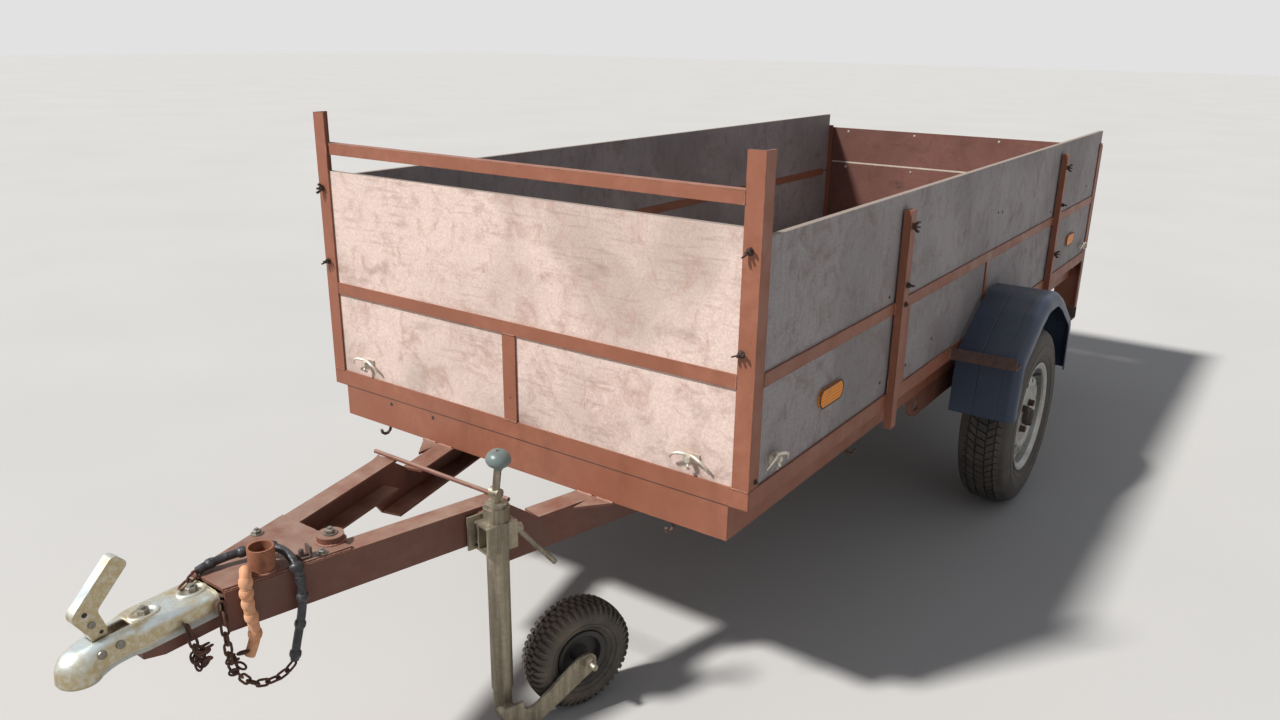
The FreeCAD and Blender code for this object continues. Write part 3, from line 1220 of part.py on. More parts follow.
def tube_along(points, radius):
    """A tube of straight runs joined by the widest arcs that they allow."""
    spots = [FreeCAD.Vector(*point) for point in points]
    edges, start = [], spots[0]
    tightest = None
    for here in range(1, len(spots) - 1):
        back, ahead = spots[here - 1] - spots[here], spots[here + 1] - spots[here]
        turn = math.pi - back.getAngle(ahead)
        bend = 0.45 * min(back.Length, ahead.Length) / math.tan(turn / 2)
        reach = bend * math.tan(turn / 2)
        back.normalize()
        ahead.normalize()
        first, last = spots[here] + back * reach, spots[here] + ahead * reach
        middle = spots[here] + (back + ahead).normalize() * (bend / math.cos(turn / 2) - bend)
        edges.append(Part.LineSegment(start, first).toShape())
        edges.append(Part.Arc(first, middle, last).toShape())
        start = last
        tightest = bend if tightest is None else min(tightest, bend)
    edges.append(Part.LineSegment(start, spots[-1]).toShape())
    path = Part.Wire(edges)
    ring = Part.Wire(Part.Circle(spots[0], spots[1] - spots[0], radius).toShape())
    tube = path.makePipeShell([ring], True, False)
    length = sum(edge.Length for edge in edges)
    share = tube.Volume / (math.pi * radius * radius * length)
    print("cord of %.0f mm, tightest bend %.0f mm, volume share %.4f" % (length, tightest, share))
    return tube


# Routes forward of the bed front, to the left, and up from the ground.
WRAPPED_CHAIN = [(794, -28, 556.3), (776, -28.5, 560), (751, -23, 563), (728, -14, 566), (706, -3, 568),
                 (683, 10, 569), (670, 33, 569), (669, 60, 567), (673, 84, 560), (675, 99.5, 541),
                 (673.5, 100, 510), (674, 99.5, 480), (680.5, 98, 446), (688, 96, 418), (695, 95, 392),
                 (700, 94, 368)]
SLEEVED_CHAIN = [(748, 48, 554.8), (756, 60, 574), (765, 76, 572), (770, 80, 548), (769.5, 80, 510),
                 (763.5, 81, 470), (763.5, 80.5, 443), (777, 77, 414)]
FIRST_LINKS = [(833.9, -15.2, 544.9), (795.8, -26.4, 555.3)]
BARE_CHAIN = [(701, 94, 363.3), (708.6, 92.2, 355.9), (717.4, 90.1, 350.1), (727.2, 87.8, 346),
              (737.5, 85.4, 343.9), (748.1, 82.9, 343.8), (758.5, 80.4, 345.7), (768.4, 78.1, 349.6),
              (777.3, 76, 355.3), (785, 74.2, 362.6), (791.1, 72.7, 371.2), (803, 70, 391.5),
              (807.5, 68.5, 404), (809.5, 68, 420), (809.5, 67, 440), (808.5, 64, 470), (806, 59, 500),
              (803.8, 53.5, 522), (803.4, 52.5, 527)]
LOOSE_CHAIN = [(868, 52.8, 514), (866, 64, 480), (862, 74, 440)]


def chain_link():
    """One link, its long axis along X and its flat in the XY plane."""
    half, bend = s.chain_straight.value / 2, s.chain_bend.value
    path = []
    for end in (1, -1):
        for step in range(BEND_STEPS + 1):
            turn = math.pi * (0.5 - step / BEND_STEPS)
            path.append((end * (half + bend * math.cos(turn)), end * bend * math.sin(turn)))
    return bar_along(path, s.chain_wire.value, closed=True)


def spots_along(route, pitch):
    """Points on a route of straight runs, each one pitch away from the one before."""
    path = Part.Wire(Part.makePolygon([FreeCAD.Vector(*point) for point in route]).Edges)
    fine = path.discretize(Distance=ROUTE_STEP)
    spots = [fine[0]]
    for point in fine:
        if (point - spots[-1]).Length >= pitch:
            spots.append(point)
    print("%d links on a route of %.1f mm" % (len(spots) - 1, path.Length))
    return spots


def links_along(route, first_turn=0):
    """Interlocked links on a route, each turned a quarter from the one before."""
    base = chain_link()
    spots = spots_along(route, s.chain_pitch.value)
    links = []
    for number, (start, end) in enumerate(zip(spots, spots[1:])):
        along = end - start
        lean = FreeCAD.Rotation(FreeCAD.Vector(1, 0, 0), along)
        roll = FreeCAD.Rotation(FreeCAD.Vector(1, 0, 0), first_turn + 90 * number)
        shape = base.copy()
        shape.Placement = FreeCAD.Placement((start + end) * 0.5, lean.multiply(roll))
        links.append(feature("ChainLink", shape))
    return links


def safety_chains():
    front = s.front.value
    for label, name, route, radius in (("wrapped_chain", "WrappedChain", WRAPPED_CHAIN, 8),
                                       ("sleeved_chain", "SleevedChain", SLEEVED_CHAIN, 10)):
        points = [(front + x, y, z) for x, y, z in route]
        keep(label, feature(name, tube_along(points, radius)))
    links = []
    for route, turn in ((FIRST_LINKS, 90), (BARE_CHAIN, 0), (LOOSE_CHAIN, 20)):
        links += links_along([(front + x, y, z) for x, y, z in route], turn)
    keep("bare_chains", group(links, "BareChains"))


fill_sheet()
dimensions()
frame_channels()
rim_angles()
corner_posts()
rear_lamps()
rails_above()
straps_and_uprights()
boards()
tailgate_parts()
road_wheels()
axle()
mudguards()
drawbar()
drawbar_nose()
coupling()
jockey_stand()
fittings()
safety_chains()
doc.recompute()


def write_parts():
    os.makedirs("parts", exist_ok=True)
    for item in doc.Objects:
        if "Invalid" in item.State or "Error" in item.State:
            raise RuntimeError("%s could not be made: %s" % (item.Label, item.State))
    for item in PARTS:
        if item.Shape.isNull() or not item.Shape.isValid():
            raise RuntimeError("%s has no valid shape" % item.Label)
        item.Shape.exportStep("parts/%s.step" % item.Label)
        corners = item.Shape.BoundBox
        print("%-22s %2d solids %9.0f cm3  x %7.1f %7.1f  y %7.1f %7.1f  z %7.1f %7.1f" % (
            item.Label, len(item.Shape.Solids), item.Shape.Volume / 1000, corners.XMin, corners.XMax,
            corners.YMin, corners.YMax, corners.ZMin, corners.ZMax))


write_parts()
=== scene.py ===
import math

import bmesh
import bpy
from mathutils import Matrix, Vector


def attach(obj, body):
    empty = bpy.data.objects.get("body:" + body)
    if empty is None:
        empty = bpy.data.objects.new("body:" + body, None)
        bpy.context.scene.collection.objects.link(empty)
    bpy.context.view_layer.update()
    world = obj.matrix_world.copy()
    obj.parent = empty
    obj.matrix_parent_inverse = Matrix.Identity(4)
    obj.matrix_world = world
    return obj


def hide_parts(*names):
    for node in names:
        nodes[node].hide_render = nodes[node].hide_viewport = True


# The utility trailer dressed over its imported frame, in metres: X forward, Y to the left, Z up.

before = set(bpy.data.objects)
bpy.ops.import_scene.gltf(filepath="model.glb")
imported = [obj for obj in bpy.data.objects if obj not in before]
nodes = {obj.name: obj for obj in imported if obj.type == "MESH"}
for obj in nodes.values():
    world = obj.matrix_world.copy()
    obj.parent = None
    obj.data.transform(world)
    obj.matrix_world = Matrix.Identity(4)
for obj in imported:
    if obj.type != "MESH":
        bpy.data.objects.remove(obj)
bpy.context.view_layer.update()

# Places in metres: the bed's front, the road wheels and the faces of their discs and caps.
FRONT = 1.02
AXLE = -0.591
WHEEL_HEIGHT = 0.3
WHEEL_MIDDLE = 0.7555
DISC_FACE = 0.8095
CAP_FACE = 0.8315

# A millimetre, for the sizes that kits and tyres are given.
MM = 0.001

# Places in millimetres, which bed() and arm_face() turn into metres.
JOCKEY_STAND = (280, 215, 130)
BOARD_OUT = 645
BOARD_IN = 630
RAIL_OUT = 650
STAKE_OUT = 670
STAKES = (-750, -2361)
RIM_TOP = 598
CLEAT_HEIGHT = 640
PLATE_TOP = 548
COUPLING_TOP = 541
LEVER_FACE = 10.5
GATE_BACK = -3090
LAMP_BACK = -3085

# How far the jockey wheel trails behind its tube, and which way it has turned.
TRAIL = 0.19
TRAIL_TURN = math.radians(20)


# Camera


def place_camera():
    """The photograph's view, solved from the bed's edges."""
    view = Vector((-0.77667, -0.54537, -0.3152)).normalized()
    right = view.cross(Vector((0, 0, 1))).normalized()
    up = right.cross(view)
    roll = math.radians(0.8575)
    turned_right = math.cos(roll) * right + math.sin(roll) * up
    turned_up = -math.sin(roll) * right + math.cos(roll) * up
    data = bpy.data.cameras.new("PhotoCamera")
    data.sensor_width = 36.0
    data.lens = 27.39
    data.clip_end = 200.0
    camera = bpy.data.objects.new("PhotoCamera", data)
    turn = Matrix((turned_right, turned_up, -view)).transposed()
    camera.matrix_world = Matrix.Translation((2.6158, 1.4966, 1.4759)) @ turn.to_4x4()
    bpy.context.scene.collection.objects.link(camera)
    bpy.context.scene.camera = camera


# Materials


def tone(colour, factor):
    """A colour made darker or lighter."""
    return [min(1, channel * factor) for channel in colour]


class Graph:
    """A material's node graph with short calls for what the surfaces here need."""

    def __init__(self, name):
        self.material = bpy.data.materials.new(name)
        self.material.use_nodes = True
        self.tree = self.material.node_tree
        self.tree.nodes.clear()
        self.place = self.node("ShaderNodeTexCoord").outputs["Object"]
        self.normal = self.node("ShaderNodeNewGeometry").outputs["Normal"]

    def node(self, kind, **settings):
        item = self.tree.nodes.new(kind)
        for key, value in settings.items():
            setattr(item, key, value)
        return item

    def feed(self, socket, value):
        """Link a socket to another one, or set its value."""
        if isinstance(value, bpy.types.NodeSocket):
            self.tree.links.new(value, socket)
        elif isinstance(value, (tuple, list)) and len(value) == 3 and socket.type == "RGBA":
            socket.default_value = (*value, 1.0)
        else:
            socket.default_value = value

    def texture(self, kind, vector=None, **values):
        """A texture or a mapping over the object's own place, or over another vector."""
        item = self.node(kind)
        self.feed(item.inputs["Vector"], vector or self.place)
        for name, value in values.items():
            item.inputs[name].default_value = value
        return item.outputs

    def stretch(self, x, y, z):
        return self.texture("ShaderNodeMapping", Scale=(x, y, z))["Vector"]

    def noise(self, scale, detail=5.0, rough=0.55, vector=None, warp=0.0):
        return self.texture("ShaderNodeTexNoise", vector, Scale=scale, Detail=detail, Roughness=rough,
                            Distortion=warp)["Fac"]

    def cells(self, scale, vector):
        return self.texture("ShaderNodeTexVoronoi", vector, Scale=scale)["Distance"]

    def ramp(self, fac, low, high, start=0.0, end=1.0):
        """The range from low to high mapped onto start to end."""
        item = self.node("ShaderNodeMapRange", clamp=True)
        values = {"Value": fac, "From Min": low, "From Max": high, "To Min": start, "To Max": end}
        for name, value in values.items():
            self.feed(item.inputs[name], value)
        return item.outputs["Result"]

    def mix(self, fac, first, second):
        item = self.node("ShaderNodeMix", data_type="RGBA")
        for index, value in ((0, fac), (6, first), (7, second)):
            self.feed(item.inputs[index], value)
        return item.outputs[2]

    def maths(self, kind, first, second=0):
        item = self.node("ShaderNodeMath", operation=kind)
        self.feed(item.inputs[0], first)
        self.feed(item.inputs[1], second)
        return item.outputs[0]

    def times(self, first, second):
        return self.maths("MULTIPLY", first, second)

    def larger(self, first, second):
        return self.maths("MAXIMUM", first, second)

    def axis(self, name, vector=None):
        """One axis of the object's own place, or of another vector."""
        item = self.node("ShaderNodeSeparateXYZ")
        self.feed(item.inputs[0], vector or self.place)
        return item.outputs[name]

    def wave(self, name, pitch):
        """A sine along one axis."""
        return self.maths("SINE", self.times(self.axis(name), 2 * math.pi / pitch))

    def edges(self, radius):
        """How near a point is to a sharp edge, from 0 to 1."""
        bevel = self.node("ShaderNodeBevel", samples=4)
        bevel.inputs["Radius"].default_value = radius
        dot = self.node("ShaderNodeVectorMath", operation="DOT_PRODUCT")
        self.feed(dot.inputs[0], bevel.outputs["Normal"])
        self.feed(dot.inputs[1], self.normal)
        return self.ramp(self.maths("SUBTRACT", 1.0, dot.outputs["Value"]), 0.02, 0.12)

    def bump(self, height, strength, distance):
        item = self.node("ShaderNodeBump")
        for name, value in (("Height", height), ("Strength", strength), ("Distance", distance)):
            self.feed(item.inputs[name], value)
        return item.outputs["Normal"]

    def surface(self, colour, rough, metal=0.0, normal=None, **fixed):
        shader = self.node("ShaderNodeBsdfPrincipled")
        self.feed(shader.inputs["Base Color"], colour)
        self.feed(shader.inputs["Roughness"], rough)
        self.feed(shader.inputs["Metallic"], metal)
        if normal is not None:
            self.feed(shader.inputs["Normal"], normal)
        for name, value in fixed.items():
            shader.inputs[name.replace("_", " ")].default_value = value
        out = self.node("ShaderNodeOutputMaterial")
        self.tree.links.new(shader.outputs[0], out.inputs["Surface"])
        return self.material


RUST_ROUGH = 0.85


def painted_steel(name, base, faded, rust_share=0.5, dust=0.35):
    """Brushed-on red-brown paint, faded in patches, rusty at its edges, with painted shade on its sideways
    faces and pale dust on top that also paints light onto the tops; dust sets the strength of both.
    """
    g = Graph(name)
    patches = g.ramp(g.noise(3.2, 6, 0.6), 0.38, 0.68)
    fine = g.noise(38, 6, 0.65)
    streaks = g.noise(9, 5, 0.6, g.stretch(1, 1, 0.15))
    colour = g.mix(g.times(patches, g.ramp(fine, 0.25, 0.75)), base, faded)
    colour = g.mix(g.ramp(streaks, 0.55, 0.8, 0, 0.5), colour, tone(base, 0.55))
    spots = g.ramp(g.noise(24, 8, 0.7, warp=0.4), 0.7 - 0.12 * rust_share, 0.76 - 0.1 * rust_share)
    worn = g.times(g.edges(0.004), g.ramp(g.noise(17, 6, 0.7), 0.42, 0.6))
    rusty = g.mix(g.noise(60, 6, 0.7), (0.2, 0.062, 0.022), (0.075, 0.026, 0.014))
    rust = g.larger(spots, worn)
    colour = g.mix(rust, colour, rusty)
    # Painted shade: faces that look along Y are darkened, the more strongly the higher dust is set.
    sides = g.ramp(g.maths("ABSOLUTE", g.axis("Y", g.normal)), 0.5, 0.95, 0, 0.55 * dust)
    colour = g.mix(sides, colour, tone(base, 0.5))
    # Pale dust on the faces that look up, partly real dust and partly painted light on the tops.
    up = g.ramp(g.axis("Z", g.normal), 0.5, 0.95)
    powder = g.times(up, g.ramp(g.noise(12, 6, 0.65), 0.3, 0.75, 0, dust))
    colour = g.mix(powder, colour, (0.34, 0.25, 0.19))
    rough = g.ramp(g.noise(14, 5), 0.3, 0.7, 0.42, 0.68)
    rough = g.mix(rust, rough, (RUST_ROUGH, RUST_ROUGH, RUST_ROUGH))
    height = g.maths("ADD", g.times(fine, 0.5), g.times(rust, 0.5))
    return g.surface(colour, rough, normal=g.bump(height, 0.35, 0.0012))


def plywood(name, pale, film, streaks, grime, end_axis):
    """Film-faced plywood, bleached in clouds, with mottling, film left in scuffs and plies on its edges."""
    g = Graph(name)
    clouds = g.noise(2.3, 4, 0.55, warp=0.5)
    mottle = g.noise(13, 8, 0.74, warp=0.9)
    fibres = g.noise(30, 6, 0.7, g.stretch(*streaks))
    speckle = g.noise(230, 3, 0.7)
    colour = g.mix(g.ramp(clouds, 0.42, 0.6, 0, 0.9), pale, tone(pale, 0.68))
    colour = g.mix(g.ramp(mottle, 0.5, 0.66, 0, 0.8), colour, film)
    scuffs = g.times(g.ramp(fibres, 0.52, 0.64), g.ramp(g.noise(4.5, 5, 0.6), 0.4, 0.56))
    colour = g.mix(g.times(scuffs, 0.42), colour, tone(film, 0.72))
    smudges = g.ramp(g.noise(4.8, 7, 0.66, warp=0.8), 0.585, 0.7, 0, 0.6)
    colour = g.mix(smudges, colour, tone(film, 0.66))
    colour = g.mix(g.ramp(speckle, 0.3, 0.62, 0.4, 0), colour, tone(film, 0.62))
    patches = g.ramp(g.cells(3.4, g.stretch(0.8, 0.8, 1.5)), 0.16, 0.05)
    torn = g.times(patches, g.ramp(g.noise(26, 7, 0.75), 0.4, 0.66))
    colour = g.mix(g.times(torn, 0.75), colour, grime)
    top = g.ramp(g.axis("Z", g.normal), 0.6, 0.9)
    plies = g.wave(end_axis, 0.0045)
    edge = g.mix(g.ramp(plies, -0.3, 0.3), (0.15, 0.105, 0.08), (0.42, 0.33, 0.26))
    edge = g.mix(g.ramp(g.noise(30, 6, 0.7), 0.35, 0.7), edge, (0.27, 0.22, 0.19))
    colour = g.mix(top, colour, edge)
    low = g.times(g.ramp(g.axis("Z"), 0.72, 0.58), g.ramp(g.noise(6, 6, 0.7), 0.38, 0.68))
    colour = g.mix(g.times(low, 0.5), colour, grime)
    height = g.maths("ADD", g.times(fibres, 0.4), g.times(speckle, 0.4))
    return g.surface(colour, g.ramp(mottle, 0.3, 0.7, 0.62, 0.86), normal=g.bump(height, 0.4, 0.0009))


def zinc(name, base, patchy, rusty=0.25, rough=0.42, streaked=0.0):
    """Zinc-plated steel gone dull, with yellow-brown patches."""
    g = Graph(name)
    clouds = g.noise(14, 6, 0.6, warp=0.5)
    flecks = g.noise(95, 6, 0.7)
    # Faces that stand upright take the yellow-brown colour almost all over; faces that look up or down take
    # it only in patches.
    upright = g.ramp(g.maths("ABSOLUTE", g.axis("Z", g.normal)), 0.75, 0.2)
    colour = g.mix(g.larger(g.ramp(clouds, 0.4, 0.7), g.times(upright, 0.9)), base, patchy)
    colour = g.mix(g.ramp(flecks, 0.45, 0.62, 0, 0.3), colour, tone(base, 1.25))
    runs = g.noise(42, 5, 0.65, g.stretch(1, 1, 0.06))
    colour = g.mix(g.ramp(runs, 0.42, 0.62, 0, streaked), colour, tone(patchy, 0.4))
    spots = g.ramp(g.noise(33, 8, 0.75, warp=0.8), 0.72 - 0.1 * rusty, 0.8 - 0.1 * rusty)
    worn = g.times(g.edges(0.003), g.ramp(g.noise(25, 5, 0.7), 0.5, 0.65))
    rust = g.times(g.larger(spots, worn), 0.8)
    colour = g.mix(rust, colour, (0.13, 0.055, 0.028))
    shine = g.ramp(clouds, 0.3, 0.7, rough - 0.1, rough + 0.15)
    metal = g.ramp(rust, 0.0, 1.0, 0.85, 0.1)
    return g.surface(colour, shine, metal, g.bump(g.noise(70, 5), 0.12, 0.0008))


def rusty_steel(name, dark, light):
    """Bare steel, rusty all over."""
    g = Graph(name)
    clouds = g.noise(30, 8, 0.7, warp=0.6)
    colour = g.mix(g.ramp(clouds, 0.35, 0.7), dark, light)
    colour = g.mix(g.ramp(g.noise(130, 5), 0.5, 0.8, 0, 0.5), colour, (0.045, 0.02, 0.012))
    return g.surface(colour, RUST_ROUGH, normal=g.bump(clouds, 0.5, 0.0012))


def rubber(name, base, dusty, amount):
    """Rubber with dust in clouds."""
    g = Graph(name)
    clouds = g.ramp(g.noise(9, 7, 0.68), 0.36, 0.68)
    powder = g.times(clouds, amount)
    colour = g.mix(powder, base, dusty)
    grain = g.bump(g.noise(220, 4, 0.6), 0.2, 0.0005)
    return g.surface(colour, g.ramp(clouds, 0, 1, 0.62, 0.92), normal=grain)


def scuffs(g, base, scuffed, scale, share, bright):
    """A plastic's scuffed patches, and its colour with them and with fine scratches."""
    clouds = g.ramp(g.noise(scale, 7, 0.66, warp=0.5), 0.42, 0.72)
    scratches = g.ramp(g.noise(60, 4, 0.6, g.stretch(0.3, 1, 2.2)), 0.66, 0.74)
    colour = g.mix(g.times(clouds, 0.7), base, scuffed)
    return clouds, g.mix(g.times(scratches, share), colour, tone(scuffed, bright))


def film_of_dust(g, colour, amount, dust):
    """Dust on the faces that look up."""
    facing = g.ramp(g.axis("Z", g.normal), 0.3, 0.95)
    powder = g.ramp(g.noise(16, 6, 0.7), 0.3, 0.7, 0, amount)
    return g.mix(g.times(facing, powder), colour, dust)


def moulded(name, base, scuffed, rough=0.5, scale=8.0):
    """Moulded plastic with scuffs and a film of dust."""
    g = Graph(name)
    clouds, colour = scuffs(g, base, scuffed, scale, 0.35, 2.6)
    colour = film_of_dust(g, colour, 0.5, (0.17, 0.15, 0.13))
    grain = g.bump(g.noise(180, 3), 0.12, 0.0004)
    return g.surface(colour, g.ramp(clouds, 0, 1, rough, rough + 0.25), normal=grain)


def mudguard_plastic(name, base, scuffed):
    """Blue-black moulded plastic with two creases round the guard, sunk and darkened as painted shade, with
    scuffs and dust on top.
    """
    g = Graph(name)
    clouds, colour = scuffs(g, base, scuffed, 5, 0.3, 2.2)
    across = g.maths("ABSOLUTE", g.axis("Y"))
    crease_with_painted_shade = None
    for place, width in ((0.728, 0.0022), (0.8, 0.0014)):
        away = g.maths("ABSOLUTE", g.maths("SUBTRACT", across, place))
        line = g.ramp(away, width, width * 0.3)
        crease_with_painted_shade = line if crease_with_painted_shade is None else g.larger(crease_with_painted_shade, line)
    # Painted shade: the creases are darkened in the colour, besides being sunk by the bump.
    colour = g.mix(g.times(crease_with_painted_shade, 0.75), colour, tone(base, 0.35))
    colour = film_of_dust(g, colour, 0.22, (0.13, 0.12, 0.115))
    height = g.maths("SUBTRACT", g.times(g.noise(180, 3), 0.15), crease_with_painted_shade)
    return g.surface(colour, g.ramp(clouds, 0, 1, 0.42, 0.66), normal=g.bump(height, 0.5, 0.0012))


def lens(name, base, deep, pitch):
    """A moulded reflector or lamp lens with a fine prism grid."""
    g = Graph(name)
    grid = g.larger(g.larger(g.wave("X", pitch), g.wave("Z", pitch)), g.wave("Y", pitch))
    colour = g.mix(g.ramp(grid, 0.2, 0.9), base, deep)
    colour = g.mix(g.ramp(g.noise(40, 5), 0.5, 0.75, 0, 0.35), colour, (0.25, 0.17, 0.12))
    return g.surface(colour, 0.38, normal=g.bump(grid, 0.4, 0.0006), Specular_IOR_Level=0.2)


def tape_wrap(name):
    """Black tape wound over a chain, glossy where it is tight."""
    g = Graph(name)
    turns = g.noise(55, 4, 0.6, warp=1.4)
    colour = g.mix(g.ramp(turns, 0.35, 0.7), (0.012, 0.012, 0.014), (0.055, 0.055, 0.06))
    colour = g.mix(g.ramp(g.noise(90, 4), 0.62, 0.75, 0, 0.5), colour, (0.22, 0.2, 0.18))
    return g.surface(colour, g.ramp(turns, 0.3, 0.7, 0.25, 0.6), normal=g.bump(turns, 0.9, 0.003))


def hose(name):
    """A faded orange hose, dirty and cracked."""
    g = Graph(name)
    rings = g.noise(120, 4, 0.6, g.stretch(0.25, 0.25, 1))
    clouds = g.noise(22, 7, 0.7, warp=0.5)
    colour = g.mix(g.ramp(clouds, 0.35, 0.65), (0.56, 0.235, 0.105), (0.72, 0.4, 0.235))
    colour = g.mix(g.ramp(clouds, 0.66, 0.78), colour, (0.16, 0.07, 0.04))
    return g.surface(colour, 0.7, normal=g.bump(rings, 0.4, 0.001))


def floor_surface():
    """The studio's plain pale floor."""
    g = Graph("studio_floor")
    colour = g.mix(g.ramp(g.noise(0.7, 3, 0.5), 0.3, 0.7), (0.5, 0.485, 0.46), (0.53, 0.51, 0.48))
    return g.surface(colour, 0.9)


BROWN = painted_steel("brown_paint", (0.235, 0.079, 0.04), (0.33, 0.124, 0.072), 0.35, 0.2)
# Paint for the drawbar and underframe: dustier, with strong painted shade on its faces that look sideways.
BROWN_DUSTY_SIDE_SHADED = painted_steel("brown_paint_dusty_side_shaded", (0.16, 0.055, 0.033), (0.25, 0.103, 0.067), 0.6, 0.8)
PLY_FRONT = plywood("plywood_front", (0.72, 0.56, 0.485), (0.46, 0.3, 0.245), (3, 0.3, 3),
                    (0.16, 0.112, 0.092), "X")
# The side boards' plywood: darker and cooler than the front's as painted shade for the sides, with upright
# streaks.
PLY_SIDE_SHADED = plywood("plywood_side_shaded", (0.34, 0.305, 0.305), (0.22, 0.175, 0.165), (3, 3, 0.35),
                   (0.085, 0.068, 0.06), "Y")
PLY_GATE = plywood("plywood_gate", (0.19, 0.076, 0.055), (0.13, 0.048, 0.036), (3, 0.3, 3),
                   (0.045, 0.026, 0.02), "X")
PLY_EDGE = moulded("plywood_edge", (0.5, 0.4, 0.32), (0.62, 0.53, 0.44), 0.8, 20)
PLY_FLOOR = plywood("plywood_floor", (0.36, 0.32, 0.28), (0.23, 0.19, 0.155), (0.3, 3, 3),
                    (0.1, 0.08, 0.065), "Y")
ZINC = zinc("zinc_steel", (0.58, 0.645, 0.655), (0.43, 0.33, 0.165), 0.05)
CLEAT = zinc("cleat_zinc", (0.7, 0.67, 0.61), (0.55, 0.49, 0.4), 0.2, 0.5)
ZINC_OLD = zinc("grey_zinc", (0.4, 0.385, 0.32), (0.31, 0.26, 0.185), 0.6, 0.5, 0.7)
ZINC_BOLT = zinc("bolt_zinc", (0.3, 0.3, 0.28), (0.2, 0.17, 0.13), 0.7, 0.45)
RUSTY = rusty_steel("rusty_steel", (0.07, 0.042, 0.036), (0.14, 0.08, 0.062))
RUSTY_PIPE = rusty_steel("rusty_pipe", (0.2, 0.067, 0.033), (0.38, 0.16, 0.083))
BOLT_DARK = rusty_steel("dark_bolts", (0.03, 0.02, 0.016), (0.085, 0.045, 0.03))
RUSTY_DARK = rusty_steel("rusty_chain", (0.06, 0.028, 0.018), (0.15, 0.062, 0.035))
AXLE_PAINT = moulded("axle_paint", (0.035, 0.031, 0.028), (0.085, 0.07, 0.058), 0.6)
WHEEL_PAINT = zinc("wheel_paint", (0.4, 0.42, 0.43), (0.3, 0.285, 0.255), 0.5, 0.5)
TYRE = rubber("tyre_rubber", (0.026, 0.024, 0.022), (0.15, 0.122, 0.1), 0.65)
TYRE_SMALL = rubber("jockey_rubber", (0.024, 0.022, 0.02), (0.2, 0.158, 0.12), 0.75)
GUARD = mudguard_plastic("guard_plastic", (0.014, 0.028, 0.062), (0.03, 0.048, 0.085))
ORANGE = lens("orange_lens", (0.95, 0.34, 0.02), (0.72, 0.19, 0.01), 0.008)
RED = lens("red_lens", (0.42, 0.012, 0.01), (0.25, 0.006, 0.006), 0.01)
TAPE = tape_wrap("black_wrap")
WELD = painted_steel("painted_welds", (0.25, 0.095, 0.058), (0.42, 0.21, 0.15), 0.5, 0.5)
# Black moulded plastic for lamp frames and the valve, and for painted shade in a joint and in holes.
BLACK = moulded("black_trim_and_painted_shade", (0.012, 0.012, 0.013), (0.035, 0.033, 0.031), 0.5)
GREY_KNOB = moulded("grey_knob", (0.125, 0.16, 0.15), (0.21, 0.24, 0.225), 0.35, 20)
HOSE = hose("orange_sleeve")


MATERIALS = {
    BROWN: ("side_rails end_rails rim_sides rim_ends front_posts rear_posts ladder_bar middle_rails "
            "lower_straps side_stakes tailgate_frame hinge_fixed_halves hinge_gate_halves"),
    BROWN_DUSTY_SIDE_SHADED: "nose_plate front_arms rear_arms cross_members tongue_bar cross_rod axle_brackets",
    PLY_FRONT: "front_lower_board front_upper_board",
    PLY_GATE: "tailgate_board",
    PLY_SIDE_SHADED: "side_lower_boards side_upper_boards",
    PLY_FLOOR: "floor_board",
    ZINC: "coupling_lever",
    CLEAT: "rope_cleats",
    ZINC_OLD: "stand_clamp stand_tube stand_crank stand_fork",
    RUSTY: "mudguard_brackets rope_hooks",
    RUSTY_PIPE: "stub_pipe",
    RUSTY_DARK: "bare_chains",
    AXLE_PAINT: "axle_beam swing_arms hub_left hub_right stand_rim",
    WHEEL_PAINT: "rim_left rim_right",
    TYRE: "tyre_left tyre_right",
    TYRE_SMALL: "stand_tyre",
    GUARD: "mudguard_left mudguard_right",
    ORANGE: "side_reflectors",
    RED: "rear_lamps",
    TAPE: "wrapped_chain",
    HOSE: "sleeved_chain",
}

# Rolled and pressed edges: node names and the radius that their edges are rounded to, in metres.
ROUNDED = {
    0.0035: ("side_rails end_rails rim_sides rim_ends front_posts rear_posts ladder_bar middle_rails "
             "side_stakes"),
    0.002: "lower_straps front_arms rear_arms tongue_bar axle_brackets mudguard_brackets tailgate_frame",
    0.0012: ("front_lower_board front_upper_board side_lower_boards side_upper_boards floor_board "
             "tailgate_board nose_plate cross_members rear_lamps coupling_lever stand_fork stand_clamp"),
}


def dress_nodes():
    """Give each piece of the frame its material and its rounded edges."""
    for material, names in MATERIALS.items():
        for name in names.split():
            node = nodes[name]
            node.data.materials.clear()
            node.data.materials.append(material)
    for radius, names in ROUNDED.items():
        for name in names.split():
            bevel = nodes[name].modifiers.new("Rounded", "BEVEL")
            bevel.width = radius
            bevel.segments = 2
            bevel.limit_method = "ANGLE"
            bevel.angle_limit = math.radians(40)
            bevel.harden_normals = True


# Shapes


def bed(x, y, z):
    """A place from millimetres: forward of the bed's front, to the left, and up."""
    return Vector((FRONT + x / 1000, y / 1000, z / 1000))


def basis(axis):
    """Two directions square to an axis, and the axis, each of length one."""
    along = Vector(axis).normalized()
    first = along.cross(Vector((0, 0, 1)))
    if first.length < 0.01:
        first = Vector((1, 0, 0))
    first.normalize()
    return first, along.cross(first), along


def circle(middle, first, second, sides, turn=0.0):
    """Even places round an ellipse, from its middle and its two half axes."""
    angles = [turn + 2 * math.pi * side / sides for side in range(sides)]
    return [middle + first * math.cos(angle) + second * math.sin(angle) for angle in angles]


def resampled(points, step):
    """Points at even steps along straight runs."""
    line = [points[0]]
    for start, end in zip(points, points[1:]):
        count = max(1, round((end - start).length / step))
        line += [start.lerp(end, (number + 1) / count) for number in range(count)]
    return line


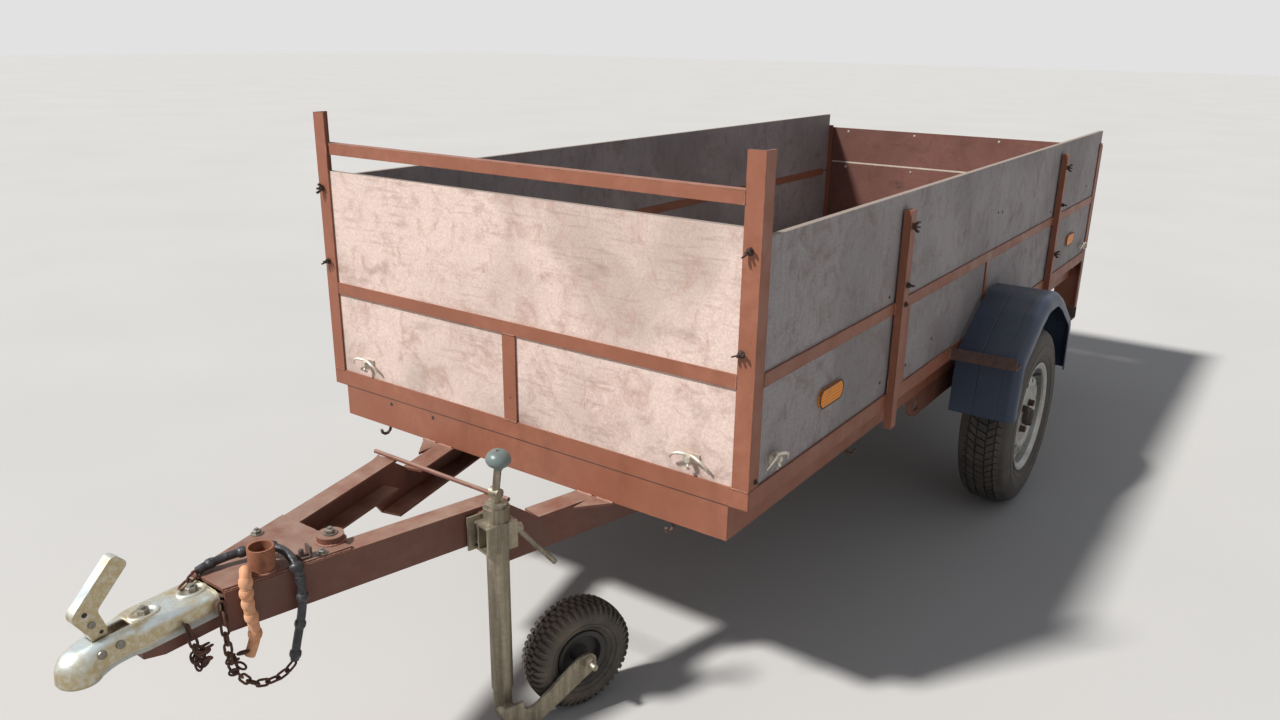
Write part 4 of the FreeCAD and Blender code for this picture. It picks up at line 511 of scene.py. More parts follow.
def smooth_profile(points, steps):
    """A Catmull-Rom line through points."""
    line = []
    padded = [points[0], *points, points[-1]]
    for index in range(1, len(padded) - 2):
        a, b, c, d = (Vector(padded[index + shift]) for shift in (-1, 0, 1, 2))
        for step in range(steps):
            t = step / steps
            line.append(tuple(0.5 * ((2 * b) + (c - a) * t + (2 * a - 5 * b + 4 * c - d) * t * t
                                     + (3 * b - a - 3 * c + d) * t ** 3)))
    return line + [tuple(points[-1])]


def add_object(name, mesh, material, body):
    """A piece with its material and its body."""
    piece = bpy.data.objects.new(name, mesh)
    bpy.context.scene.collection.objects.link(piece)
    mesh.materials.append(material)
    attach(piece, body)
    return piece


class Kit:
    """Parts of one material on one body in one mesh; its sizes are in millimetres, its places in metres."""

    def __init__(self, name, material, slot, body="chassis"):
        self.name, self.material, self.slot, self.body = name, material, slot, body
        self.shape = bmesh.new()

    def ring(self, spots):
        return [self.shape.verts.new(spot) for spot in spots]

    def skin(self, rings, closed=True):
        """Faces from each ring of vertices to the next; a ring of one vertex is a tip."""
        count = max(len(ring) for ring in rings)
        for near, far in zip(rings, rings[1:]):
            for here in range(count if closed else count - 1):
                after = (here + 1) % count
                corners = dict.fromkeys((near[here % len(near)], near[after % len(near)],
                                         far[after % len(far)], far[here % len(far)]))
                self.shape.faces.new(list(corners))

    def caps(self, rings):
        self.shape.faces.new(rings[0])
        self.shape.faces.new(rings[-1])

    def lathe(self, spot, axis, profile, sides=20, turn=0.0, wide=1.0):
        """Turn (radius, height) points about an axis; wide stretches the first direction."""
        first, second, along = basis(axis)
        rings = []
        for radius, height in profile:
            middle, reach = spot + along * height * MM, radius * MM
            around = circle(middle, first * reach * wide, second * reach, sides, turn)
            rings.append(self.ring(around if radius else [middle]))
        self.skin(rings)

    def slab(self, corners, out, thick):
        """A flat plate from its corners, its thickness towards a direction."""
        lift = Vector(out).normalized() * thick * MM
        rings = [self.ring(corners), self.ring(corner + lift for corner in corners)]
        self.skin(rings)
        self.caps(rings)

    def strip(self, start, end, out, width, thick):
        """A thin straight strip lying on a face."""
        side = (end - start).cross(Vector(out)).normalized() * (width * MM / 2)
        self.slab([start - side, start + side, end + side, end - side], out, thick)

    def sweep(self, line, sizes, sides=6):
        """A bar along points, with its own radius at each point."""
        rings = []
        for number, (point, size) in enumerate(zip(line, sizes)):
            ahead = line[min(number + 1, len(line) - 1)] - line[max(number - 1, 0)]
            first, second, _ = basis(ahead)
            rings.append(self.ring(circle(point, first * size * MM, second * size * MM, sides)))
        self.skin(rings)
        self.caps(rings)

    def bead(self, points, radius):
        """A weld bead along straight runs, with its ripples."""
        line = resampled(points, 0.0035)
        self.sweep(line, [radius * (1 + 0.16 * math.sin(number * 2.1) + 0.12 * math.sin(number * 0.73 + 1))
                          for number in range(len(line))])

    def ring_bead(self, centre, radius, thick):
        """A weld bead round an upright pipe or boss."""
        points = circle(centre, Vector((radius * MM, 0, 0)), Vector((0, radius * MM, 0)), 32)
        self.bead(points + points[:1], thick)

    def done(self, angle=35.0, outwards=True):
        """Turn the faces outwards, unless told not to, and make the piece."""
        if outwards:
            bmesh.ops.recalc_face_normals(self.shape, faces=self.shape.faces)
        mesh = bpy.data.meshes.new(self.name)
        self.shape.to_mesh(mesh)
        self.shape.free()
        mesh.shade_smooth()
        mesh.set_sharp_from_angle(angle=math.radians(angle))
        return add_object(self.name, mesh, self.material, self.body)


# Cords

WRAPPED_ROUTE = [(794, -28, 556.3), (776, -28.5, 560), (751, -23, 563), (728, -14, 566), (706, -3, 568),
                 (683, 10, 569), (670, 33, 569), (669, 60, 567), (673, 84, 560), (675, 99.5, 541),
                 (673.5, 100, 510), (674, 99.5, 480), (680.5, 98, 446), (688, 96, 418), (695, 95, 392),
                 (700, 94, 368)]
SLEEVED_ROUTE = [(748, 48, 554.8), (756, 60, 574), (765, 76, 572), (770, 80, 548), (769.5, 80, 510),
                 (763.5, 81, 470), (763.5, 80.5, 443), (777, 77, 414)]


def cord_curve(name, route, radius, material):
    """A smooth tube along a route given from the bed's front, in millimetres."""
    curve = bpy.data.curves.new(name, "CURVE")
    curve.dimensions = "3D"
    spline = curve.splines.new("NURBS")
    spline.points.add(len(route) - 1)
    for point, (x, y, z) in zip(spline.points, route):
        point.co = (FRONT + x / 1000, y / 1000, z / 1000, 1.0)
    spline.order_u = 3
    spline.use_endpoint_u = True
    curve.resolution_u = 10
    curve.bevel_depth = radius
    curve.bevel_resolution = 5
    curve.use_fill_caps = True
    curve.materials.append(material)
    piece = bpy.data.objects.new(name, curve)
    bpy.context.scene.collection.objects.link(piece)
    return piece


def lay_cords():
    """Lay both covered chains as cords, in place of the frame's own."""
    for name, node, route, radius, length, material in (
            ("tape_wrapped_chain", "wrapped_chain", WRAPPED_ROUTE, 0.008, 0.397, TAPE),
            ("hose_sleeve", "sleeved_chain", SLEEVED_ROUTE, 0.01, 0.201, HOSE)):
        piece = cord_curve(name, route, radius, material)
        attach(piece, "chassis")
        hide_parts(node)


# Tyres


class Tyre(Kit):
    """A tyre from radii and distances across it, in millimetres, and angles round its axle."""

    def __init__(self, name, material, body, hub, axle, segments, outer, depth, falls):
        super().__init__(name, material, "tyre", body)
        self.hub, self.segments, self.outer, self.depth, self.falls = hub, segments, outer, depth, falls
        self.first, self.second, self.across = basis(axle)

    def place(self, radius, across, angle):
        reach = self.first * math.cos(angle) + self.second * math.sin(angle)
        return self.hub + (self.across * across + reach * radius) * MM

    def crown(self, across):
        """The tread's radius; each fall has a depth, a start and the distance that it takes."""
        return self.outer - sum(fall * max(0.0, (abs(across) - start) / span) ** 2
                                for fall, start, span in self.falls)

    def spin(self, profile):
        """Revolve (radius, across) points."""
        rings = []
        for step in range(self.segments):
            angle = 2 * math.pi * step / self.segments
            rings.append(self.ring(self.place(radius, across, angle) for radius, across in profile))
        self.skin(rings + rings[:1], closed=False)

    def carcass(self, wall, edge, count):
        """Both side walls and the tread's floor between them."""
        floor = [edge - 2 * edge * number / count for number in range(count + 1)]
        tread = [(self.crown(across) - self.depth, across) for across in floor]
        self.spin(wall + tread + [(radius, -across) for radius, across in reversed(wall)])

    def mould_lines(self, lines, section):
        """Raised rings on both walls: (radius, across, width) each, over a section of (widths, out)."""
        for radius, across, width in lines:
            for mirror in (1, -1):
                self.spin([(radius + width * share, mirror * (across + out)) for share, out in section])

    def block(self, corners, draft):
        """A tread block over (across, angle) corners, its top drawn in."""
        middle = [sum(values) / len(corners) for values in zip(*corners)]
        bottom, shoulder, top = [], [], []
        for across, angle in corners:
            reach = self.crown(across)
            bottom.append(self.place(reach - self.depth - 1, across, angle))
            shoulder.append(self.place(reach - draft, across, angle))
            away = middle[0] - across
            inner = across + math.copysign(min(draft, abs(away)), away)
            turned = angle + math.copysign(draft / reach, middle[1] - angle)
            top.append(self.place(self.crown(inner), inner, turned))
        rings = [self.ring(spots) for spots in (bottom, shoulder, top)]
        self.skin(rings)
        self.shape.faces.new(rings[-1])


# Half of each tyre's section, from the bead to the tread: radius and distance across.
ROAD_WALL = ((166.5, 60), (172, 66.5), (184, 70), (205, 79), (230, 82.3), (252, 81), (268, 76.5), (279, 71.5),
             (286, 65), (289.5, 56))
JOCKEY_WALL = ((63.2, 23.5), (69, 30), (79, 36), (93, 40.5), (106, 39.5), (115, 34.5), (120, 27))

# The road tyre's ribs: where each starts and ends across the tread, its slant and its shift.
ROAD_RIBS = ((-13.5, 13.5, 0.18, 0), (17.5, 39.5, -0.3, 0.5), (-39.5, -17.5, 0.3, 0.5),
             (43.5, 71.5, 0.22, 0.2), (-71.5, -43.5, -0.22, 0.2))
ROAD_PITCHES = 74

# The jockey tyre's blocks: each corner across the tread and round it, in shares of a pitch.
JOCKEY_BLOCKS = (((1.5, 0), (13.5, 0.1), (13.5, 0.62), (1.5, 0.72)),
                 ((16.5, 0.48), (28.5, 0.48), (28.5, 1.08), (16.5, 1.08)))
JOCKEY_PITCHES = 46


def road_tyre(name, side, body):
    """The road tyre: side walls with mould lines, and five ribs of blocks round the tread."""
    hub = Vector((AXLE, side * WHEEL_MIDDLE, WHEEL_HEIGHT))
    tyre = Tyre(name, TYRE, body, hub, (0, side, 0), 120, 299.8, 7.5, ((3.5, 0, 60), (28, 58, 18)))
    tyre.carcass(smooth_profile(ROAD_WALL, 4), 50, 20)
    tyre.mould_lines(((188.5, 72.5, 1.2), (208.5, 80.2, 1), (244, 82.2, 1.2)),
                     ((-1, -1.5), (-0.5, 0.8), (0.5, 0.8), (1, -1.5)))
    pitch = 2 * math.pi / ROAD_PITCHES
    for low, high, slant, shift in ROAD_RIBS:
        lean = slant * pitch
        for number in range(ROAD_PITCHES):
            start = (number + shift) * pitch
            end = start + pitch * 0.84
            corners = [(low, start - lean), (high, start + lean), (high, end + lean), (low, end - lean)]
            tyre.block(corners, 0.9)
    piece = tyre.done()
    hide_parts(name.replace("road_", ""))


def jockey_hub():
    """The jockey wheel's middle and its axle's direction."""
    trail = Vector((-math.cos(TRAIL_TURN), math.sin(TRAIL_TURN), 0))
    return bed(*JOCKEY_STAND) + trail * TRAIL, Vector((math.sin(TRAIL_TURN), math.cos(TRAIL_TURN), 0))


def jockey_tyre():
    """The jockey wheel's tyre: two rows of blocks on the crown and long lugs over the shoulders."""
    falls = ((4, 0, 30), (16, 26, 12))
    tyre = Tyre("jockey_tyre", TYRE_SMALL, "stand_wheel", *jockey_hub(), 96, 129.8, 6.5, falls)
    tyre.carcass(smooth_profile(JOCKEY_WALL, 5), 22, 11)
    tyre.mould_lines(((74.5, 34, 1), (85, 38.8, 0.8)), ((-1, -1.5), (0, 1), (1, -1.2)))
    pitch = 2 * math.pi / JOCKEY_PITCHES
    for number in range(JOCKEY_PITCHES):
        for mirror, shift in ((1, 0.0), (-1, 0.5)):
            start = (number + shift) * pitch
            for corners in JOCKEY_BLOCKS:
                tyre.block([(mirror * across, start + share * pitch) for across, share in corners], 0.8)
            shoulder_lug(tyre, mirror, start + 0.48 * pitch, 0.5 * pitch)
    piece = tyre.done()
    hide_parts("stand_tyre")


def shoulder_lug(tyre, mirror, start, width):
    """A finger of rubber from the crown's edge down the side wall."""
    ridge = ((126.2, 30), (121.5, 35.2), (115, 38.6), (107.5, 40.4), (101, 40.9))
    foot = ((119, 28.5), (115, 32.5), (111, 35), (106, 37.5), (100.5, 39.5))
    rows = []
    for number, (high, low) in enumerate(zip(ridge, foot)):
        narrow = width * (1.0 - 0.1 * number)
        near = start + width * 0.6 - narrow / 2
        corners = ((low, 0), (high, 0.06), (high, 0.94), (low, 1))
        rows.append(tyre.ring(tyre.place(radius, mirror * across, near + share * narrow)
                              for (radius, across), share in corners))
    tyre.skin(rows, closed=False)
    tyre.caps([rows[0], rows[-1][::-1]])


# Small hard parts


def hex_bolt(kit, spot, axis, size, turn=0.4, washer=True):
    """A washer, a hexagon and the end of a thread; size is half the hexagon's width."""
    rise = size * 0.25 if washer else 0.0
    if washer:
        kit.lathe(spot, axis, [(0, 0), (size * 1.6, 0), (size * 1.6, rise), (0, rise)])
    high = rise + size * 0.95
    head = [(size * 1.12, rise), (size * 1.12, high - size * 0.2), (size * 0.95, high), (0, high)]
    kit.lathe(spot, axis, head, 6, turn)
    kit.lathe(spot, axis, [(size * 0.5, high), (size * 0.5, high + size * 0.4), (0, high + size * 0.5)], 10)


# A wing nut's round body, and the outline of one of its wings: out and up.
WING_BODY = ((8.5, 0), (8.5, 1.5), (6.5, 2), (5.5, 9), (3, 9.5), (3, 18), (0, 18.5))
WING = ((3.5, 2), (9, 4), (15, 11), (14, 17), (10, 18), (5, 9))


def wing_bolt(kit, spot, axis, turn):
    """A wing nut on its stud."""
    first, second, along = basis(axis)
    kit.lathe(spot, axis, WING_BODY, 14)
    across = first * math.cos(turn) + second * math.sin(turn)
    flat = along.cross(across)
    for side in (1, -1):
        corners = [spot + (across * (side * out) + along * rise - flat * 1.2) * MM
                   for out, rise in WING]
        kit.slab(corners, flat, 2.4)


def screw(kit, spot, axis, size):
    """A low round head."""
    head = [(size, 0), (size * 0.92, size * 0.25), (size * 0.45, size * 0.35), (0, size * 0.3)]
    kit.lathe(spot, axis, head, 12)


def dot(kit, spot, axis, size):
    """A black disc: painted shade for the inside of a drilled hole."""
    kit.lathe(spot, axis, [(size, 0), (size, 0.3), (0, 0.3)], 16)


# Bed: bolts, screws, painted shade along a joint and in holes, welds, cleats and the reflectors' frames

# The screws on the side boards: forward of the bed's front and up.
SIDE_SCREWS = ((-700, 865), (-812, 872), (-690, 640), (-1065, 668), (-870, 640), (-1590, 960), (-1640, 955),
               (-2300, 868), (-2420, 862), (-2890, 900))

# Upright welds on both sides: forward places, the distance from the middle, heights and radius.
UPRIGHT_WELDS = (
    ((-0.5,), 609, ((1180, 1206), (815, 843)), 2.2),
    ((-41, -3029), RAIL_OUT, ((816, 842),), 1.8),
    ((-733, -767, -2344, -2378), RAIL_OUT + 1, ((600, 640), (815, 843)), 2),
    ((-785, -847, -1520, -1544), RAIL_OUT, ((599, 613),), 1.7),
    ((-1239, -1983), RAIL_OUT + 1, ((563, 597),), 2.8),
)


def bed_details():
    wings = Kit("wing_bolts", BOLT_DARK, "rusty_steel")
    for y, z, turn in ((626, 1094, 0.9), (618, 889, 0.3), (-637, 1092, 1.2), (-637, 899, 0.6)):
        wing_bolt(wings, bed(0, y, z), (1, 0, 0), turn)
    for side in (1, -1):
        for x, heights in zip(STAKES, ((1040, 890), (1030, 890, 700))):
            for z in heights:
                wing_bolt(wings, bed(x, STAKE_OUT * side, z), (0, side, 0), 0.4 + z / 100)
    wings.done()

    bolts = Kit("bed_bolts", BOLT_DARK, "rusty_steel")
    for side in (1, -1):
        hex_bolt(bolts, bed(-26, RAIL_OUT * side, 614), (0, side, 0), 4)
        hex_bolt(bolts, bed(STAKES[0], STAKE_OUT * side, 840), (0, side, 0), 5)
        for x, z in SIDE_SCREWS:
            screw(bolts, bed(x, BOARD_OUT * side, z), (0, side, 0), 4.5)
    bolts.done()

    rails = Kit("inner_rails", BROWN, "brown_paint")
    corners = ((-45, 824), (-3020, 824), (-3020, 856), (-45, 856))
    for side in (1, -1):
        rails.slab([bed(x, BOARD_IN * side, z) for x, z in corners], (0, -side, 0), 1.8)
    rails.done()

    dark = Kit("bed_painted_shade_and_reflector_edges", BLACK, "guard_plastic")
    amber = Kit("reflector_flanges", ORANGE, "orange_lens")
    # Painted shade: a thin black strip along the joint across the bed's front, and black discs in two holes
    # on the front.
    dark.strip(bed(0, -604, 556), bed(0, 604, 556), (1, 0, 0), 1.8, 0.3)
    for y, z in ((-427, 541), (-270, 540)):
        dot(dark, bed(0, y, z), (1, 0, 0), 5)
    for side in (1, -1):
        for x in (-330, -2655):
            reflector_frame(dark, amber, x, side)
    dark.done()
    amber.done()

    welds = Kit("bed_welds", WELD, "brown_paint")
    for side in (1, -1):
        for places, y, heights, radius in UPRIGHT_WELDS:
            for x in places:
                for low, high in heights:
                    welds.bead([bed(x, y * side, low), bed(x, y * side, high)], radius)
        welds.bead([bed(0, 611 * side, RIM_TOP), bed(0, 649 * side, RIM_TOP)], 1.8)
        welds.bead([bed(-1, RAIL_OUT * side, RIM_TOP), bed(-39, RAIL_OUT * side, RIM_TOP)], 1.8)
    for z in (RIM_TOP, 814):
        welds.bead([bed(0, -19, z), bed(0, 19, z)], 1.8)
    welds.done(80)
    cleat_horns()


# A cleat's horns and its lower hook: along the board, out of it and up, with the radius.
CLEAT_HORNS = (
    ((3, 7, 5, 4.4), (-8, 15, 10, 4.2), (-22, 20, 11, 3.8), (-36, 20, 6, 3.3), (-45, 17, -3, 2.6),
     (-47, 14, -8, 2.0)),
    ((-3, 7, 5, 4.4), (9, 15, 9, 4.2), (22, 20, 8, 3.8), (35, 20, 1, 3.3), (43, 16, -9, 2.6),
     (45, 13, -15, 2.0)),
    ((0, 6, 0, 4.0), (0, 15, -6, 3.8), (0, 19, -15, 3.4), (0, 15, -22, 2.8), (0, 10, -24, 2.2)),
)


def cleat_horns():
    """The two curved horns and the hook of each rope cleat."""
    horns = Kit("cleat_horns", CLEAT, "zinc_steel")
    spots = []
    for side in (1, -1):
        spots.append((bed(-5, 510 * side, CLEAT_HEIGHT), Vector((0, 1, 0)), Vector((1, 0, 0))))
        for x in (-105, -2940):
            board = bed(x, BOARD_OUT * side, CLEAT_HEIGHT)
            spots.append((board, Vector((-side, 0, 0)), Vector((0, side, 0))))
    for spot, along, out in spots:
        for horn in CLEAT_HORNS:
            line = [spot + (along * a + out * b + Vector((0, 0, c))) / 1000 for a, b, c, _ in horn]
            horns.sweep(line, [radius for _, _, _, radius in horn], 10)
    horns.done(70)


def reflector_frame(dark, amber, x, side):
    """The flange round a reflector's raised face, with a narrow dark edge."""
    def loop(inset, corner, lift):
        left, right, low, high = x - 108 + inset, x + 16 - inset, 680 + inset, 727 - inset
        spots = ((left + corner, low), (right - corner, low), (right, low + corner), (right, high - corner),
                 (right - corner, high), (left + corner, high), (left, high - corner), (left, low + corner))
        return [bed(along, (BOARD_OUT + 0.3 + lift) * side, up) for along, up in spots]

    amber.slab(loop(2, 12, 0), (0, side, 0), 7.2)
    outer, inner = loop(0, 13, 6.6), loop(3, 11.5, 6.6)
    for here in range(8):
        after = (here + 1) % 8
        dark.slab([outer[here], outer[after], inner[after], inner[here]], (0, side, 0), 1.2)


# Drawbar: welds, bolts, the clip, the chain's tangle and what swells out of the cords


def arm_face(x, side, z, out=0.0):
    """A place on the outer face of a drawbar arm, which tapers forwards."""
    return bed(x, side * (250 - 0.247 * x + out), z)


def drawbar_details():
    welds = Kit("drawbar_welds", WELD, "brown_paint")
    for side in (1, -1):
        welds.bead([arm_face(302, side, 472), arm_face(302, side, 528), arm_face(243, side, 541, 3)], 3.2)
        welds.bead([arm_face(564, side, 543, -4), arm_face(794, side, 543, -4)], 2.6)
        for near, far in ((262, 308), (205, 249)):
            welds.bead([bed(1, near * side, 473), bed(1, far * side, 473)], 4)
    welds.bead([bed(561, -106, 544), bed(561, 106, 544)], 2.6)
    welds.ring_bead(bed(712, 45, PLATE_TOP + 0.5), 25.5, 2.6)
    welds.ring_bead(bed(570, 55, PLATE_TOP + 0.5), 27.2, 2.6)
    welds.done(80)

    bolts = Kit("drawbar_bolts", ZINC_BOLT, "grey_zinc")
    for x, y, z, size, turn in ((570, 55, 562, 8.5, 0.2), (640, -78, PLATE_TOP, 7.5, 0.7),
                                (612, 84, PLATE_TOP, 6.5, 0.1)):
        hex_bolt(bolts, bed(x, y, z), (0, 0, 1), size, turn)
    for x in (600, 745):
        for side in (1, -1):
            hex_bolt(bolts, arm_face(x, side, 462, -26), (0, 0, -1), 7.5, 0.5)
    bolts.done()

    clip = Kit("drawbar_clip", RUSTY, "rusty_steel")
    top = PLATE_TOP + 4
    foot = ((628, 62), (650, 56), (655, 78), (633, 84))
    clip.slab([bed(x, y, PLATE_TOP) for x, y in foot], (0, 0, 1), 4)
    leaf = ((628, 62, top), (633, 84, top), (633, 84, 570), (628, 62, 570))
    clip.slab([bed(*corner) for corner in leaf], (1, -0.25, 0), 4)
    clip.lathe(bed(646, 68, top), (0, 0, 1), [(5, 0), (5, 12), (3, 14), (0, 14)], 12)
    clip.done()

    tangle = Kit("chain_tangle", RUSTY_DARK, "rusty_steel")
    for number in range(20):
        x, y, z = (858, 68, 458) if number < 14 else (800, 71, 412)
        spot = bed(x + 11 * math.sin(number * 2.4), y + 7 * math.sin(number * 1.7 + 1),
                   z + 15 * math.sin(number * 0.9 + 0.6))
        tilt = Matrix.Rotation(number * 1.9, 3, "X") @ Matrix.Rotation(number * 1.3, 3, "Z")
        line = circle(spot, tilt @ Vector((0.0098, 0, 0)), tilt @ Vector((0, 0.0056, 0)), 16)
        tangle.sweep(line + line[:1], [2.2] * 17)
    tangle.done(60)

    swellings("tape_knots", TAPE, "black_wrap", WRAPPED_ROUTE, KNOTS, KNOT_PROFILE, 12, 1.08)
    swellings("hose_lumps", HOSE, "orange_sleeve", SLEEVED_ROUTE, LUMPS, LUMP_PROFILE, 14, 1.06)


# Swellings of the cords: the route's point, how far it is to the next one, and a size.
KNOTS = ((1, 0.3, 1.0), (3, 0.5, 1.1), (5, 0.6, 1.25), (8, 0.5, 1.3), (9, 0.4, 1.05), (10, 0.6, 1.2),
         (12, 0.3, 1.1), (14, 0.5, 1.15))
KNOT_PROFILE = ((7.8, -8), (9.2, -5), (9.6, 1), (9, 5), (7.8, 8.5))
LUMPS = ((2, 0.55, 1.0), (3, 0.25, 1.06), (3, 0.8, 0.98), (4, 0.5, 1.05), (5, 0.6, 1.02))
LUMP_PROFILE = ((9.6, -9), (11.3, -5), (11.8, 1), (11, 6), (9.6, 9.5))


def swellings(name, material, slot, route, places, profile, sides, wide):
    """Rings swollen out of a cord; the ends of the profile keep to the cord's own size."""
    kit = Kit(name, material, slot)
    spots = [bed(*point) for point in route]
    for number, share, size in places:
        start, end = spots[number], spots[number + 1]
        middle = [(radius * size, height) for radius, height in profile[1:-1]]
        line = [profile[0], *middle, profile[-1]]
        kit.lathe(start.lerp(end, share), end - start, line, sides, number, wide)
    kit.done(60)


# Coupling: the pressed shell, seats with their bolts, rivets and the lever's pins

# Sections of the coupling's outside: forward of the bed, half width, bottom, top and squareness.
COUPLING_STATIONS = (
    (802, 45, 498, 541, 8.5), (806, 45, 498, 541, 8.5), (860, 45, 498, 541, 8), (905, 45, 498, 541, 7.5),
    (922, 44.6, 497.5, 541, 7), (936, 42, 496, 541, 6), (950, 35, 494, 541, 5.5),
    (962, 31.5, 492, 540.5, 5.2), (978, 30.4, 490, 540, 5), (992, 30.6, 487, 539, 4.6),
    (1004, 32.2, 483.5, 537.4, 3.9),
    (1014, 34.8, 481, 535.8, 3.2), (1022, 36.8, 481, 534.4, 2.7), (1032, 36.2, 481, 532.4, 2.4),
    (1042, 32.4, 481, 528, 2.25), (1050, 26, 481, 521.5, 2.15), (1055.5, 18.2, 481, 514, 2.1),
    (1058.8, 10, 481, 506.5, 2.05), (1060, 0.8, 481, 498, 2))
COUPLING_SIDES = 48
COUPLING_MIDDLE = COUPLING_SIDES // 2
SLOT_ROWS = ((1, 9), (2, 14))


def coupling_row(x, wide, low, top, square):
    """One section of the shell, left edge to right edge, flared at the bottom of the dome."""
    row = []
    for step in range(COUPLING_SIDES + 1):
        angle = math.pi * step / COUPLING_SIDES
        across, rise = math.cos(angle), max(0.0, math.sin(angle))
        y = wide * math.copysign(abs(across) ** (2 / square), across)
        z = low + (top - low) * rise ** (2 / square)
        if x > 1005 and step in (0, COUPLING_SIDES):
            y += math.copysign(1.6, y)
        row.append([x, y, z])
    if 935 < x < 1008:
        for shift, reach in SLOT_ROWS:
            row[COUPLING_MIDDLE - shift][1], row[COUPLING_MIDDLE + shift][1] = reach, -reach
    return [bed(*point) for point in row]


def coupling_shell():
    """The pressed head as one smooth sheet, open underneath and slotted for the lever."""
    shell = Kit("coupling_shell", ZINC, "zinc_steel")
    stations = smooth_profile(COUPLING_STATIONS, 4)
    rows = [shell.ring(coupling_row(*station)) for station in stations]
    for number, pair in enumerate(zip(rows, rows[1:])):
        slotted = 939 < stations[number][0] and stations[number + 1][0] < 1003
        halves = (slice(0, COUPLING_MIDDLE - 1), slice(COUPLING_MIDDLE + 2, None))
        for part in halves if slotted else (slice(None),):
            shell.skin([row[part] for row in pair], closed=False)
    shell.shape.normal_update()
    if sum(face.normal.z for face in shell.shape.faces) < 0:
        bmesh.ops.reverse_faces(shell.shape, faces=shell.shape.faces)
    piece = shell.done(50, outwards=False)
    wall = piece.modifiers.new("Wall", "SOLIDIFY")
    wall.thickness = 0.004
    wall.offset = -1
    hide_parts("coupling_body")


def coupling_details():
    coupling_shell()
    seats = Kit("coupling_seats", ZINC, "zinc_steel")
    bolts = Kit("coupling_bolts", ZINC_BOLT, "grey_zinc")
    seat = [(20.5, -1), (19.5, 2), (17.5, 3.4), (15, 3), (13.5, 0.8), (0, 0.8)]
    for x, turn in ((911, 0.2), (824, 0.7)):
        seats.lathe(bed(x, 0, COUPLING_TOP), (0, 0, 1), seat, 32, 0, 1.4)
        hex_bolt(bolts, bed(x, 0, COUPLING_TOP + 0.8), (0, 0, 1), 9.5, turn, washer=False)
    seats.done(50)

    rivet = [(8, 0), (7.5, 1.8), (4.5, 3), (0, 3.2)]
    for side in (1, -1):
        for x, z in ((998, 520), (968, 523)):
            bolts.lathe(bed(x, 30 * side, z), (0, side, 0), rivet, 18)
    bolts.lathe(bed(985, -24, 530), (0, 1, 0), [(0, 0), (5, 0), (5, 48), (0, 48)], 14)
    bolts.done()

    lever = Kit("lever_pins", ZINC_BOLT, "grey_zinc", "lever")
    holes = Kit("lever_hole_shade", BLACK, "guard_plastic", "lever")
    pin = [(6.2, 0), (6, 2.2), (4.2, 3.2), (0, 3.2)]
    for side in (1, -1):
        face = LEVER_FACE * side
        lever.lathe(bed(998, face, 568), (0, side, 0), pin, 16)
        # Black discs on the lever's sides: painted shade for its holes.
        dot(holes, bed(1006, face, 590), (0, side, 0), 4.5)
        dot(holes, bed(985, face, 549), (0, side, 0), 3.5)
    grip = [(6, -6), (6, 6), (4.2, 8), (0, 8)]
    lever.lathe(bed(977, 0, 597), (-0.72, 0, 0.69), grip, 16)
    lever.done()
    holes.done()


# Jockey stand: knob, axle nut and bolts


def stand_details():
    knob = Kit("crank_knob", GREY_KNOB, "grey_zinc", "stand_leg")
    profile = [(9, -14), (12, -6), (23, 0.5), (26.2, 7), (26.2, 12), (23.5, 19.5), (16.5, 26.2), (8, 28.8),
               (4.5, 28.8), (4, 27), (0, 27)]
    knob.lathe(bed(286, 231, 654), (0.05, 0.1, 1), profile, 28)
    knob.done(60)

    hub, axle = jockey_hub()
    nuts = Kit("stand_axle_nuts", ZINC_OLD, "grey_zinc", "stand_swivel")
    washer = [(0, 0), (16, 0), (16, 2), (0, 2)]
    nut = [(14, 0), (14, 10), (12.2, 11.8), (0, 11.8)]
    thread = [(8, 0), (8, 15), (6.6, 17), (0, 17)]
    for away, profile, sides, turn in ((54, washer, 24, 0), (56, nut, 6, 0.3), (67, thread, 16, 0)):
        nuts.lathe(hub + axle * away * MM, axle, profile, sides, turn)
    nuts.done()

    clamp = Kit("stand_clamp_bolts", ZINC_BOLT, "grey_zinc")
    for z in (474, 508):
        hex_bolt(clamp, arm_face(306, 1, z, 11.5), (0.24, 0.97, 0), 6.5, z / 10)
    clamp.done()


# Road wheels: bolts, the cap's seam and the valve


def wheel_details(side, body):
    def face(radius, angle, out):
        return Vector((AXLE + radius * math.cos(angle), out * side, WHEEL_HEIGHT + radius * math.sin(angle)))

    out = (0, side, 0)
    bolts = Kit("wheel_bolts_" + body, BOLT_DARK, "rusty_steel", body)
    for number in range(4):
        spot = face(0.05, math.radians(45 + 90 * number), DISC_FACE)
        bolts.lathe(spot, out, [(12.5, 0), (11, 4), (11, 4.5)])
        bolts.lathe(spot, out, [(10.8, 4), (10.8, 15), (9.2, 17), (0, 17)], 6, number)
    seam = [(24, 0), (22.5, 2.2), (15, 4), (0, 4.5)]
    bolts.lathe(face(0, 0, CAP_FACE), out, seam, 28)
    bolts.done()
    valve = Kit("valve_" + body, BLACK, "tyre", body)
    stem = [(6.5, -8), (6, 4), (4.2, 12), (4.2, 26), (3.5, 30), (0, 30)]
    valve.lathe(face(0.142, 2.2, 0.795), (-0.25, side, 0.3), stem, 12)
    valve.done()


# Tail: lamp frames, the amber part of the lamps and the tailgate's bolts


